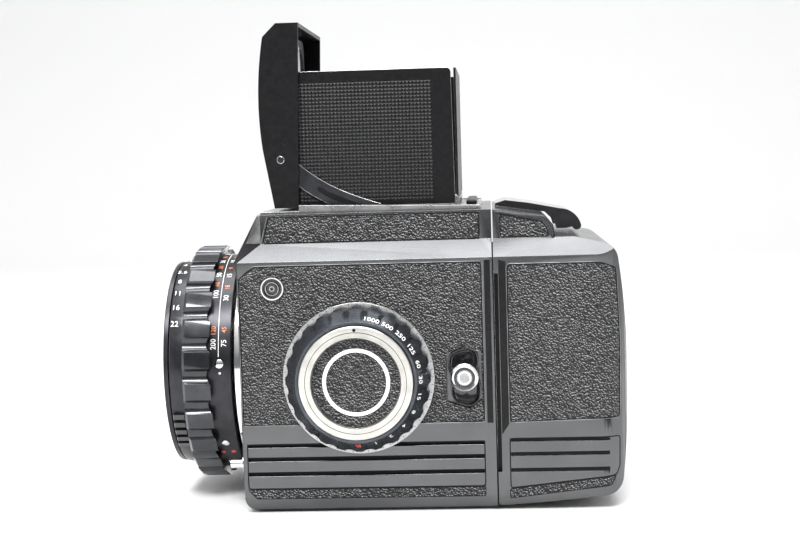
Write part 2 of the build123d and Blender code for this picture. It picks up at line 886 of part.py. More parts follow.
# Each side panel stands on its hinge line and has a rolled stiffening rim along its top.
for sign, side in sides:
    low = left_hinge_z if side == "left" else right_hinge_z
    with BuildPart() as hood_panel:
        with BuildSketch(side_plane.offset(sign * (panel_half - panel_thickness / 2))):
            with BuildLine():
                Polyline(
                    (panel_front, low - 0.4),
                    (panel_rear + 0.2, low - 0.4),
                    (panel_rear - 0.3, panel_top),
                    (panel_front, panel_top),
                    close=True,
                )
            make_face()
            fillet(vertices().group_by(Axis.Y)[-1], 1.5)
        extrude(amount=sign * panel_thickness)
    hood_panel.part.label = f"hood_panel_{side}"
    export_step(hood_panel.part, f"parts/hood_panel_{side}.step")

with BuildPart() as hood_panel_rear:
    with BuildSketch(Plane.YZ.offset(rear_panel_x - panel_thickness / 2)):
        with Locations((0, (rear_hinge_z - 0.4 + panel_top) / 2)):
            Rectangle(54.4, panel_top - rear_hinge_z + 0.4)
    extrude(amount=panel_thickness)
hood_panel_rear.part.label = "hood_panel_rear"
export_step(hood_panel_rear.part, "parts/hood_panel_rear.step")

lid_wall = 0.8
lid_hinge = (-26.5, 93.2)
stay_pivot = (-25.3, 106.3)
magnifier_pivot = (-24.0, 112.0)

with BuildPart() as hood_lid:
    with BuildSketch(side_plane.offset(-lid_half)):
        with BuildLine():
            lower = Polyline((-18.7, lid_top), (-20.3, 91.6), (-27.6, 91.6), (-30.7, 109.5))
            bulge = ThreePointArc(lower @ 1, (-31.5, 126.0), (-29.7, 143.5))
            Polyline(bulge @ 1, (-25.6, lid_top), lower @ 0)
        make_face()
        fillet(vertices().sort_by(Axis.Y)[-4:].sort_by(Axis.X)[:2], 1.4)
    extrude(amount=2 * lid_half)
    with BuildSketch(side_plane.offset(-(lid_half - lid_wall))):
        with BuildLine():
            lower = Polyline(
                (-17.0, lid_top - 1.2),
                (-17.0, 90.0),
                (-23.2, 90.0),
                (-23.2, 92.6),
                (-26.4, 92.6),
                (-29.5, 109.7),
            )
            bulge = ThreePointArc(lower @ 1, (-30.3, 126.0), (-28.6, 142.9))
            Polyline(bulge @ 1, (-25.1, lid_top - 1.2), lower @ 0)
        make_face()
    extrude(amount=2 * (lid_half - lid_wall), mode=Mode.SUBTRACT)
    # Small catch on the crown of the lid
    with BuildSketch(side_plane.offset(-5.0)):
        with BuildLine():
            Polyline((-28.8, 145.6), (-26.0, 145.6), (-26.0, lid_top), (-28.4, lid_top), close=True)
        make_face()
    extrude(amount=10)
    with BuildSketch(side_plane.offset(-lid_half)):
        with Locations(stay_pivot):
            Circle(1.2 + running)
        with Locations(magnifier_pivot):
            Circle(journal_r + running)
    extrude(amount=2 * lid_half, mode=Mode.SUBTRACT)
hood_lid.part.label = "hood_lid"
export_step(hood_lid.part, "parts/hood_lid.step")

# Each stay is a slotted bar that bends downwards from its pivot in the lid to the base.
stay_width = 5.6
for sign, side in sides:
    with BuildPart() as stay:
        with BuildSketch(side_plane.offset(sign * 28.8)):
            with BuildLine():
                Spline(stay_pivot, (-20.3, 101.6), (-14.4, 97.4), (-8.6, 94.3), (-2.0, 91.6), (4.0, 89.6))
            trace(line_width=stay_width)
            with Locations(stay_pivot):
                Circle(stay_width / 2)
            with BuildLine(mode=Mode.PRIVATE) as slot_line:
                Spline((-13.9, 97.1), (-8.6, 94.3), (-2.0, 91.6), (4.0, 89.6))
            add(trace(slot_line.line, line_width=1.7, mode=Mode.PRIVATE), mode=Mode.SUBTRACT)
            with Locations((0, 81.5)):
                Rectangle(80, 20, mode=Mode.SUBTRACT)
        extrude(amount=sign * 0.5)
        with BuildSketch(side_plane.offset(sign * 29.3)):
            with Locations(stay_pivot):
                Circle(1.2)
        extrude(amount=sign * 1.3)
    stay.part.label = f"stay_{side}"
    export_step(stay.part, f"parts/stay_{side}.step")

with BuildPart() as magnifier_frame:
    with BuildSketch(Plane.YZ.offset(-24.9)):
        with Locations((0, 128.0)):
            RectangleRounded(38.0, 34.0, 4.0)
        with Locations((0, 129.0)):
            Circle(14.0, mode=Mode.SUBTRACT)
    extrude(amount=1.8)
    with BuildSketch(side_plane.offset(-lid_half)):
        with Locations(magnifier_pivot):
            Circle(journal_r)
    extrude(amount=2 * lid_half)
magnifier_frame.part.label = "magnifier_frame"
export_step(magnifier_frame.part, "parts/magnifier_frame.step")

with BuildPart() as magnifier_lens:
    with BuildSketch(Plane.YZ.offset(-25.6)):
        with Locations((0, 129.0)):
            Circle(14.0)
    extrude(amount=3.2)
    chamfer(edges().filter_by(GeomType.CIRCLE), 0.6)
magnifier_lens.part.label = "magnifier_lens"
export_step(magnifier_lens.part, "parts/magnifier_lens.step")

with BuildPart() as hood_release:
    with BuildSketch(Plane.XY.offset(base_plate_top + 0.3)):
        with Locations((32.1, 0)):
            Rectangle(3.2, 40.0)
    extrude(amount=1.4)
    chamfer(edges().group_by(Axis.Z)[-1], 0.4)
hood_release.part.label = "hood_release"
export_step(hood_release.part, "parts/hood_release.step")

# ---- Film back ----

back_leather_outline = [(42.1, 26.5), (75.0, 27.3), (75.4, 50.0), (74.6, 72.1), (70.0, 73.9), (42.1, 73.9)]
back_grip_outline = [(42.0, 6.8), (73.5, 10.1), (74.6, 12.5), (74.8, 21.8), (42.0, 21.8)]
back_upper_outline = [
    (40.4, shoulder_high + 0.1),
    (55.4, shoulder_high + 0.1),
    (54.6, 84.3),
    (53.0, 86.2),
    (40.4, 88.6),
]
back_grooves = (21.3, 17.0, 12.2)
back_groove_x = 58.2
back_groove_length = 32.4
groove_width = 1.1
groove_depth = 0.5
back_solid = back_form()
back_core = back_form(skin)

with BuildPart() as back_upper_leather:
    for sign in (1, -1):
        with BuildSketch(side_plane.offset(sign * (upper_half - 0.6))):
            with BuildLine():
                Polyline(*back_upper_outline, close=True)
            make_face()
        extrude(amount=sign * 0.6)
back_upper_leather.part.label = "back_upper_leather"
export_step(back_upper_leather.part, "parts/back_upper_leather.step")

back_trim = [back_upper_leather.part]
for sign, side in sides:
    with BuildPart() as back_leather:
        add(back_solid)
        with BuildSketch(side_plane.offset(sign * 30)):
            with BuildLine():
                Polyline(*back_leather_outline, close=True)
            make_face()
        extrude(amount=sign * 20, mode=Mode.INTERSECT)
        add(back_core, mode=Mode.SUBTRACT)
    back_leather.part.label = f"back_leather_{side}"
    export_step(back_leather.part, f"parts/back_leather_{side}.step")
    back_trim.append(back_leather.part)

    with BuildPart() as back_grip:
        add(back_solid)
        with BuildSketch(side_plane.offset(sign * 30)):
            with BuildLine():
                Polyline(*back_grip_outline, close=True)
            make_face()
        extrude(amount=sign * 20, mode=Mode.INTERSECT)
        add(back_core, mode=Mode.SUBTRACT)
        with BuildSketch(side_plane.offset(sign * (body_half - groove_depth))):
            for height in back_grooves:
                with Locations((back_groove_x, height)):
                    Rectangle(back_groove_length, groove_width)
        extrude(amount=sign * 2, mode=Mode.SUBTRACT)
    back_grip.part.label = f"back_grip_{side}"
    export_step(back_grip.part, f"parts/back_grip_{side}.step")
    back_trim.append(back_grip.part)

back_wall = 2.4

with BuildPart() as back_shell:
    add(back_solid)
    add(back_form(back_wall), mode=Mode.SUBTRACT)
    with BuildSketch(Plane.YZ.offset(back_front - 1)):
        with Locations((0, 41.4)):
            Rectangle(2 * (body_half - back_wall), 68.8)
        with Locations((0, 84.0)):
            Rectangle(2 * (upper_half - back_wall), 7.2)
    extrude(amount=4, mode=Mode.SUBTRACT)
    for piece in back_trim:
        add(piece, mode=Mode.SUBTRACT)
    for sign, side in sides:
        with BuildSketch(side_plane.offset(sign * (body_half - groove_depth))):
            for height in back_grooves:
                with Locations((back_groove_x, height)):
                    Rectangle(back_groove_length, groove_width)
        extrude(amount=sign * 2, mode=Mode.SUBTRACT)
    # Dark slide slot in the left wall
    with BuildSketch(side_plane.offset(body_half - 4)):
        with BuildLine():
            Polyline(*rectangle_points(back_front, 11.7, back_front + 1.2, 71.1), close=True)
        make_face()
    extrude(amount=5, mode=Mode.SUBTRACT)
back_shell.part.label = "back_shell"
export_step(back_shell.part, "parts/back_shell.step")

# The insert carries the film: a front plate with the picture window and two cheeks.
cheek_half = 32.0
spool_journal_r = 2.0

with BuildPart() as film_insert:
    with BuildSketch(Plane.YZ.offset(back_front)):
        with Locations((0, 41.4)):
            Rectangle(2 * (body_half - back_wall - 0.6), 67.2)
        with Locations((0, lens_z)):
            Rectangle(2 * gate_half, 2 * gate_half, mode=Mode.SUBTRACT)
    extrude(amount=1.8)
    for sign in (1, -1):
        with BuildSketch(side_plane.offset(sign * cheek_half)):
            with Locations(((40.2 + 69.0) / 2, lens_z)):
                Rectangle(69.0 - 40.2, 64.0)
            for height in spool_z.values():
                with Locations((spool_x, height)):
                    Circle(spool_journal_r + running, mode=Mode.SUBTRACT)
        extrude(amount=sign * 1.6)
film_insert.part.label = "film_insert"
export_step(film_insert.part, "parts/film_insert.step")

for name, height in spool_z.items():
    with BuildPart() as spool:
        with BuildSketch(side_plane.offset(-31.2)):
            with Locations((spool_x, height)):
                Circle(9.0 if name == "supply_spool" else 6.0)
        extrude(amount=62.4)
        for sign in (1, -1):
            with BuildSketch(side_plane.offset(sign * 30.4)):
                with Locations((spool_x, height)):
                    Circle(11.5)
            extrude(amount=sign * 0.9)
            with BuildSketch(side_plane.offset(sign * 31.2)):
                with Locations((spool_x, height)):
                    Circle(spool_journal_r)
            extrude(amount=sign * 2.4)
    spool.part.label = name
    export_step(spool.part, f"parts/{name}.step")

with BuildPart() as pressure_plate:
    with BuildSketch(Plane.YZ.offset(43.0)):
        with Locations((0, lens_z)):
            Rectangle(60.0, 58.0)
    extrude(amount=1.2)
    with BuildSketch(Plane.YZ.offset(40.2)):
        with Locations((0, lens_z)):
            with GridLocations(58.0, 55.0, 2, 2):
                Circle(0.9)
    extrude(amount=2.8)
pressure_plate.part.label = "pressure_plate"
export_step(pressure_plate.part, "parts/pressure_plate.step")

# The latch lever lies along the crown of the back and curls down behind it, with a skirt
# down each side.
latch_half = 15.0
latch_skirt = 1.4
with BuildPart() as latch_lever:
    with BuildSketch(side_plane.offset(-latch_half)):
        with BuildLine():
            top = Polyline((39.4, 90.2), (39.4, 90.9), (42.5, 91.8), (50.2, 90.7), (59.5, 88.8))
            heel = ThreePointArc(top @ 1, (63.9, 87.0), (66.0, 83.4))
            tail = ThreePointArc(heel @ 1, (64.6, 82.0), (63.2, 83.4))
            Polyline(tail @ 1, (62.2, 85.4), (59.4, 87.1), (50.0, 89.1), top @ 0)
        make_face()
    extrude(amount=2 * latch_half)
    for sign, side in sides:
        with BuildSketch(side_plane.offset(sign * latch_half)):
            with BuildLine():
                Polyline(
                    (41.0, 90.6),
                    (50.2, 90.3),
                    (59.4, 88.4),
                    (63.2, 86.2),
                    (64.6, 83.4),
                    (61.4, 82.6),
                    (58.3, 82.6),
                    (57.6, 85.0),
                    (54.6, 87.9),
                    (50.0, 88.6),
                    (41.0, 90.0),
                    close=True,
                )
            make_face()
        extrude(amount=-sign * latch_skirt)
latch_lever.part.label = "latch_lever"
export_step(latch_lever.part, "parts/latch_lever.step")
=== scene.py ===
"""Looks of a medium format single lens reflex camera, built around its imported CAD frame.

Metres, in the CAD's own frame: +Z up, the lens towards -X, the photographer's left side at -Y.
"""
import json
from math import cos, pi, radians, sin, sqrt

import bmesh
import bpy
from mathutils import Matrix, Vector

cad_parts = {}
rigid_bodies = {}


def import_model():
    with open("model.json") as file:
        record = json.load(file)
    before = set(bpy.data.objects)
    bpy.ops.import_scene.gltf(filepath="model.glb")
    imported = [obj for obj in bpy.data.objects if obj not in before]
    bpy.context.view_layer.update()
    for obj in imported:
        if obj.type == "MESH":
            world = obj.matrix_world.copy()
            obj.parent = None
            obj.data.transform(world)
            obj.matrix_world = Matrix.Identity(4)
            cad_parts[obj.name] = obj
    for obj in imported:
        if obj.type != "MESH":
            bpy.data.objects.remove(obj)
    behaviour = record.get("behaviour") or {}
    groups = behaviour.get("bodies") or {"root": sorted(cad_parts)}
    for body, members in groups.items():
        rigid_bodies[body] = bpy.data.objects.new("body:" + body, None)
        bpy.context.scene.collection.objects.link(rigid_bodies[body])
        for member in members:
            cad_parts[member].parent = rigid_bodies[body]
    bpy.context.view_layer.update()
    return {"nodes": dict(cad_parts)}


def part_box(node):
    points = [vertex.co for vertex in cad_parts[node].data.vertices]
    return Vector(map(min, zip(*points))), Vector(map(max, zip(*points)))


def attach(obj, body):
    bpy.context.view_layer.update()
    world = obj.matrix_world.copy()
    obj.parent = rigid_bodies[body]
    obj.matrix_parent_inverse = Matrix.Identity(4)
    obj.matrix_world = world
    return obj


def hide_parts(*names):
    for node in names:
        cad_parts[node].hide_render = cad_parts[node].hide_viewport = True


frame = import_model()
nodes = frame["nodes"]

MM = 0.001
LENS_Z = 41.5 * MM
DIAL = Vector((-2.5, 0, 40.85)) * MM
STUD = Vector((29.1, 0, 40.9)) * MM
FLASH_SOCKET = Vector((-27.6, 0, 68.1)) * MM
SIDE_FACE = 42.0  # the body's side faces, in millimetres out from the middle plane
UPPER_FACE = 37.0  # the upper section's side faces, likewise


# ---- Camera ----

def make_camera():
    """A long lens half a metre from the left side, tilted a little down and rolled a little."""
    yaw, pitch, roll = 0.0615348, 0.0749001, -0.0291241
    forward = Vector((-sin(yaw) * cos(pitch), cos(yaw) * cos(pitch), -sin(pitch)))
    level_right = Vector((cos(yaw), sin(yaw), 0))
    level_up = level_right.cross(forward)
    right = cos(roll) * level_right + sin(roll) * level_up
    up = -sin(roll) * level_right + cos(roll) * level_up
    data = bpy.data.cameras.new("camera")
    data.sensor_width = 36.0
    data.lens = 68.056
    data.clip_start = 0.01
    camera = bpy.data.objects.new("camera", data)
    rotation = Matrix((right, up, -forward)).transposed().to_4x4()
    camera.matrix_world = Matrix.Translation((0.038244, -0.487919, 0.107371)) @ rotation
    bpy.context.scene.collection.objects.link(camera)
    bpy.context.scene.camera = camera


# ---- Stage and light ----

def shader_nodes(mat):
    """The node tree of a material and its main shader."""
    mat.use_nodes = True
    return mat.node_tree, mat.node_tree.nodes["Principled BSDF"]


def make_stage():
    """A pale floor that runs up into a pale backdrop."""
    width, near, far, height, bend = 3.0, -1.2, 1.4, 1.8, 0.4
    profile = [(near, 0.0), (far - bend, 0.0)]
    for step in range(1, 9):
        angle = step / 8 * pi / 2
        profile.append((far - bend + bend * sin(angle), bend - bend * cos(angle)))
    profile.append((far, height))
    verts = [(x, y, z) for y, z in profile for x in (-width, width)]
    faces = [(2 * i, 2 * i + 1, 2 * i + 3, 2 * i + 2) for i in range(len(profile) - 1)]
    mesh = bpy.data.meshes.new("floor")
    mesh.from_pydata(verts, [], faces)
    for poly in mesh.polygons:
        poly.use_smooth = True
    floor = bpy.data.objects.new("floor", mesh)
    bpy.context.scene.collection.objects.link(floor)
    mat = bpy.data.materials.new("pale_floor")
    tree, shader = shader_nodes(mat)
    noise = tree.nodes.new("ShaderNodeTexNoise")
    noise.inputs["Scale"].default_value = 3.0
    ramp = tree.nodes.new("ShaderNodeValToRGB")
    ramp.color_ramp.elements[0].color = (0.74, 0.74, 0.74, 1)
    ramp.color_ramp.elements[1].color = (0.77, 0.77, 0.77, 1)
    tree.links.new(noise.outputs["Fac"], ramp.inputs["Fac"])
    tree.links.new(ramp.outputs["Color"], shader.inputs["Base Color"])
    shader.inputs["Roughness"].default_value = 0.75
    mesh.materials.append(mat)


def softbox(name, place, aim, width, height, power):
    """A rectangular soft light at place, looking at aim."""
    data = bpy.data.lights.new(name, "AREA")
    data.shape = "RECTANGLE"
    data.size = width
    data.size_y = height
    data.energy = power
    light = bpy.data.objects.new(name, data)
    direction = Vector(aim) - Vector(place)
    light.matrix_world = Matrix.Translation(place) @ direction.to_track_quat("-Z", "Y").to_matrix().to_4x4()
    bpy.context.scene.collection.objects.link(light)


def make_light():
    """A white surround that is darker in front of the left side, and four softboxes."""
    world = bpy.data.worlds.new("studio")
    bpy.context.scene.world = world
    world.use_nodes = True
    tree = world.node_tree
    background = tree.nodes["Background"]
    coords = tree.nodes.new("ShaderNodeTexCoord")
    split = tree.nodes.new("ShaderNodeSeparateXYZ")
    tree.links.new(coords.outputs["Generated"], split.inputs["Vector"])
    depth = tree.nodes.new("ShaderNodeMapRange")
    for socket, value in (("From Min", -0.75), ("From Max", 0.1), ("To Min", 0.0), ("To Max", 1.0)):
        depth.inputs[socket].default_value = value
    tree.links.new(split.outputs["Y"], depth.inputs["Value"])
    rise = tree.nodes.new("ShaderNodeMapRange")
    for socket, value in (("From Min", 0.15), ("From Max", 0.65), ("To Min", 0.0), ("To Max", 1.0)):
        rise.inputs[socket].default_value = value
    tree.links.new(split.outputs["Z"], rise.inputs["Value"])
    brightest = tree.nodes.new("ShaderNodeMath")
    brightest.operation = "MAXIMUM"
    tree.links.new(depth.outputs["Result"], brightest.inputs[0])
    tree.links.new(rise.outputs["Result"], brightest.inputs[1])
    ramp = tree.nodes.new("ShaderNodeValToRGB")
    ramp.color_ramp.elements[0].color = (0.22, 0.225, 0.235, 1)
    ramp.color_ramp.elements[1].color = (1, 1, 1, 1)
    tree.links.new(brightest.outputs["Value"], ramp.inputs["Fac"])
    tree.links.new(ramp.outputs["Color"], background.inputs["Color"])
    background.inputs["Strength"].default_value = 1.06
    softbox("top_light", (0.0, 0.05, 0.9), (0, 0, 0.05), 0.9, 0.5, 10.0)
    softbox("key_light", (-0.1, -0.62, 0.82), (0, 0, 0.06), 0.5, 0.25, 11.0)
    softbox("left_light", (-0.85, -0.3, 0.4), (0, 0, 0.06), 0.25, 0.7, 2.4)
    softbox("right_light", (0.9, -0.35, 0.45), (0.02, 0, 0.06), 0.25, 0.5, 1.2)


# ---- Materials ----

def socket(shader, **values):
    """Sets plain numbers and colours straight on the shader's own sockets."""
    names = {
        "metallic": "Metallic", "roughness": "Roughness", "ior": "IOR", "coat": "Coat Weight",
        "coat_roughness": "Coat Roughness", "specular": "Specular IOR Level",
        "transmission": "Transmission Weight",
    }
    for key, value in values.items():
        shader.inputs[names[key]].default_value = value


def node(tree, kind, **values):
    """A new node with values on its input sockets."""
    made = tree.nodes.new(kind)
    for key, value in values.items():
        made.inputs[key.replace("_", " ")].default_value = value
    return made


def material(name, dark, light, roughness, noise_scale=220.0, spread=0.1, bump=None, bump_depth=0.02,
             **plain):
    """A material whose colour and roughness wander with a noise, with an optional bumped relief.

    bump is a function that adds texture nodes for a height and returns its output socket.
    bump_depth is in millimetres.
    """
    mat = bpy.data.materials.new(name)
    tree, shader = shader_nodes(mat)
    coords = tree.nodes.new("ShaderNodeTexCoord")
    noise = node(tree, "ShaderNodeTexNoise", Scale=noise_scale, Detail=4.0)
    tree.links.new(coords.outputs["Object"], noise.inputs["Vector"])
    ramp = tree.nodes.new("ShaderNodeValToRGB")
    ramp.color_ramp.elements[0].position = 0.35
    ramp.color_ramp.elements[1].position = 0.7
    ramp.color_ramp.elements[0].color = (*dark, 1)
    ramp.color_ramp.elements[1].color = (*light, 1)
    tree.links.new(noise.outputs["Fac"], ramp.inputs["Fac"])
    tree.links.new(ramp.outputs["Color"], shader.inputs["Base Color"])
    rough = tree.nodes.new("ShaderNodeMapRange")
    rough.inputs["To Min"].default_value = max(roughness - spread / 2, 0.02)
    rough.inputs["To Max"].default_value = roughness + spread / 2
    tree.links.new(noise.outputs["Fac"], rough.inputs["Value"])
    tree.links.new(rough.outputs["Result"], shader.inputs["Roughness"])
    if bump:
        relief = node(tree, "ShaderNodeBump", Distance=bump_depth * MM)
        tree.links.new(bump(tree, coords), relief.inputs["Height"])
        tree.links.new(relief.outputs["Normal"], shader.inputs["Normal"])
    socket(shader, **plain)
    return mat


def pebble_height(tree, coords, lift):
    """Height of an irregular pebbled grain about 0.6 mm across, sampled lift mm higher up."""
    shift = tree.nodes.new("ShaderNodeMapping")
    shift.inputs["Location"].default_value = (0.3 * lift * MM, 0.0, lift * MM)
    tree.links.new(coords.outputs["Object"], shift.inputs["Vector"])
    warp = node(tree, "ShaderNodeTexNoise", Scale=700.0, Detail=2.0)
    mix = tree.nodes.new("ShaderNodeMixRGB")
    mix.blend_type = "ADD"
    mix.inputs["Fac"].default_value = 0.0009
    tree.links.new(shift.outputs["Vector"], warp.inputs["Vector"])
    tree.links.new(shift.outputs["Vector"], mix.inputs["Color1"])
    tree.links.new(warp.outputs["Color"], mix.inputs["Color2"])
    cells = tree.nodes.new("ShaderNodeTexVoronoi")
    cells.feature = "SMOOTH_F1"
    cells.inputs["Scale"].default_value = 1750.0
    cells.inputs["Smoothness"].default_value = 0.3
    tree.links.new(mix.outputs["Color"], cells.inputs["Vector"])
    return cells.outputs["Distance"]


def pebbles(tree, coords):
    """Pebbled grain for a bump. The cells' middles stand up."""
    flip = tree.nodes.new("ShaderNodeMath")
    flip.operation = "MULTIPLY"
    flip.inputs[1].default_value = -1.0
    tree.links.new(pebble_height(tree, coords, 0.0), flip.inputs[0])
    return flip.outputs["Value"]


def leather_material():
    """Pebbled leatherette with light painted into its colour: a painted glint on the upper flank of each
    pebble, and painted shade on its lower flank and along the creases.
    """
    mat = material("pebbled_leatherette", (0.01, 0.01, 0.011), (0.02, 0.02, 0.021), 0.34, noise_scale=900.0,
                   bump=pebbles, bump_depth=0.35, specular=0.24, coat=0.05, coat_roughness=0.25)
    tree, shader = shader_nodes(mat)
    coords = next(n for n in tree.nodes if n.type == "TEX_COORD")
    # Painted light: the grain's height a little higher up, minus its height here, goes into the colour, light
    # where a pebble faces up and dark where it faces down.
    slope = tree.nodes.new("ShaderNodeMath")
    slope.operation = "SUBTRACT"
    tree.links.new(pebble_height(tree, coords, 0.13), slope.inputs[0])
    tree.links.new(pebble_height(tree, coords, 0.0), slope.inputs[1])
    patches = node(tree, "ShaderNodeTexNoise", Scale=420.0, Detail=2.0)
    tree.links.new(coords.outputs["Object"], patches.inputs["Vector"])
    patches_and_painted_light = tree.nodes.new("ShaderNodeMath")
    patches_and_painted_light.operation = "MULTIPLY_ADD"
    patches_and_painted_light.inputs[1].default_value = 0.12
    tree.links.new(patches.outputs["Fac"], patches_and_painted_light.inputs[0])
    tree.links.new(slope.outputs["Value"], patches_and_painted_light.inputs[2])
    # The ramp paints the shade, then the pebble's own dark tone, then the painted glint.
    ramp = tree.nodes.new("ShaderNodeValToRGB")
    ramp.color_ramp.elements[0].position = 0.03
    ramp.color_ramp.elements[0].color = (0.006, 0.006, 0.0065, 1)
    ramp.color_ramp.elements[1].position = 0.3
    ramp.color_ramp.elements[1].color = (0.27, 0.27, 0.275, 1)
    middle = ramp.color_ramp.elements.new(0.13)
    middle.color = (0.035, 0.035, 0.036, 1)
    tree.links.new(patches_and_painted_light.outputs["Value"], ramp.inputs["Fac"])
    tree.links.new(ramp.outputs["Color"], shader.inputs["Base Color"])
    return mat


def turned(center, axis, pitch):
    """Fine lathe marks: rings about an axis through a point."""
    def height(tree, coords):
        shift = tree.nodes.new("ShaderNodeMapping")
        shift.inputs["Location"].default_value = tuple(-c for c in center)
        tree.links.new(coords.outputs["Object"], shift.inputs["Vector"])
        wave = tree.nodes.new("ShaderNodeTexWave")
        wave.wave_type = "RINGS"
        wave.rings_direction = axis
        wave.inputs["Scale"].default_value = 1.0 / (20.0 * pitch * MM)
        wave.inputs["Distortion"].default_value = 0.6
        tree.links.new(shift.outputs["Vector"], wave.inputs["Vector"])
        return wave.outputs["Fac"]
    return height


def fine_grain(scale):
    """The faint texture of a cast, blasted or sprayed surface."""
    def height(tree, coords):
        grain = node(tree, "ShaderNodeTexNoise", Scale=scale, Detail=5.0)
        tree.links.new(coords.outputs["Object"], grain.inputs["Vector"])
        return grain.outputs["Fac"]
    return height


def brushed(stretch):
    """Straight brushing: a noise that is drawn out along one direction."""
    def height(tree, coords):
        draw = tree.nodes.new("ShaderNodeMapping")
        draw.inputs["Scale"].default_value = stretch
        tree.links.new(coords.outputs["Object"], draw.inputs["Vector"])
        grain = node(tree, "ShaderNodeTexNoise", Scale=1500.0, Detail=3.0)
        tree.links.new(draw.outputs["Vector"], grain.inputs["Vector"])
        return grain.outputs["Fac"]
    return height


LENS_AXIS = (0, 0, LENS_Z)
M = {
    "casting": material("grey_casting", (0.097, 0.099, 0.102), (0.122, 0.124, 0.128), 0.24, metallic=1.0,
                        noise_scale=60.0, bump=brushed((0.1, 1, 1)), bump_depth=0.008),
    # Light metal for the socket's sleeve and pin and the polished post, and also a painted highlight on the
    # rounded edges of the stays and hood panels.
    "bright_edge": material("worn_edge", (0.3, 0.3, 0.3), (0.5, 0.5, 0.49), 0.25, metallic=1.0),
    "worn_metal": material("worn_metal", (0.12, 0.12, 0.12), (0.36, 0.36, 0.36), 0.3, noise_scale=120.0,
                           metallic=1.0),
    "leather": leather_material(),
    "enamel": material("gloss_black_enamel", (0.008, 0.008, 0.009), (0.014, 0.014, 0.016), 0.14,
                       noise_scale=400.0, coat=0.6, coat_roughness=0.05),
    "ring_black": material("gloss_ring", (0.03, 0.031, 0.034), (0.045, 0.047, 0.052), 0.2, metallic=0.8,
                           bump=turned(LENS_AXIS, "X", 0.1), bump_depth=0.003, coat=0.3),
    "satin_black": material("satin_black", (0.004, 0.004, 0.0045), (0.008, 0.008, 0.009), 0.34,
                            noise_scale=700.0, bump=fine_grain(2500.0), bump_depth=0.008, specular=0.2),
    "stay_black": material("stay_black", (0.05, 0.052, 0.058), (0.075, 0.078, 0.085), 0.25, metallic=0.9,
                           bump=fine_grain(1500.0), bump_depth=0.004),
    "anodised": material("black_anodised", (0.022, 0.022, 0.025), (0.036, 0.036, 0.041), 0.3,
                         metallic=0.7, bump=turned(LENS_AXIS, "X", 0.12), bump_depth=0.006),
    "dial_black": material("dial_anodised", (0.055, 0.06, 0.07), (0.085, 0.092, 0.105), 0.26,
                           metallic=0.85, bump=turned(DIAL, "Y", 0.1), bump_depth=0.004),
    "chrome": material("polished_chrome", (0.72, 0.72, 0.71), (0.8, 0.8, 0.79), 0.1, spread=0.06,
                       metallic=1.0, bump=fine_grain(900.0), bump_depth=0.003),
    "satin_chrome": material("turned_chrome", (0.5, 0.49, 0.46), (0.64, 0.63, 0.59), 0.3, metallic=1.0,
                             bump=turned(DIAL, "Y", 0.16), bump_depth=0.012),
    "steel": material("brushed_steel", (0.34, 0.34, 0.34), (0.46, 0.46, 0.46), 0.28, metallic=1.0,
                      bump=brushed((1, 0.1, 1)), bump_depth=0.006),
    "brass": material("turned_brass", (0.5, 0.36, 0.14), (0.62, 0.46, 0.2), 0.3, metallic=1.0,
                      bump=fine_grain(1500.0), bump_depth=0.006),
    "flock": material("matt_flock", (0.004, 0.004, 0.004), (0.009, 0.009, 0.009), 0.9,
                      bump=fine_grain(4000.0), bump_depth=0.05),
    "glass": material("coated_glass", (0.05, 0.035, 0.09), (0.07, 0.06, 0.13), 0.03, noise_scale=20.0,
                      spread=0.01, transmission=0.85, ior=1.5, coat=0.7, coat_roughness=0.03),
    "clear_glass": material("magnifier_glass", (0.9, 0.92, 0.94), (0.95, 0.96, 0.97), 0.03, noise_scale=20.0,
                            spread=0.01, transmission=0.97, ior=1.5),
    "screen": material("ground_glass", (0.62, 0.64, 0.62), (0.72, 0.74, 0.72), 0.45,
                       bump=turned((0, 0, 0.074), "Z", 0.3), bump_depth=0.01, transmission=0.25),
    "mirror": material("silvered_glass", (0.9, 0.9, 0.91), (0.93, 0.93, 0.94), 0.03, spread=0.02,
                       metallic=1.0),
    "cloth": material("curtain_cloth", (0.01, 0.01, 0.01), (0.022, 0.022, 0.022), 0.7,
                      bump=brushed((1, 3, 1)), bump_depth=0.03),
    "paper": material("backing_paper", (0.32, 0.05, 0.03), (0.42, 0.08, 0.05), 0.6,
                      bump=fine_grain(1200.0), bump_depth=0.02),
    "white_ink": material("white_ink", (0.82, 0.82, 0.8), (0.9, 0.9, 0.88), 0.45, noise_scale=1500.0),
    "red_ink": material("red_ink", (0.5, 0.05, 0.05), (0.62, 0.08, 0.07), 0.45, noise_scale=1500.0),
    "orange_ink": material("orange_ink", (0.8, 0.2, 0.08), (0.88, 0.28, 0.12), 0.45, noise_scale=1500.0),
    "shade_line": material("shade_line", (0.004, 0.004, 0.004), (0.008, 0.008, 0.008), 0.6, specular=0.15),
}
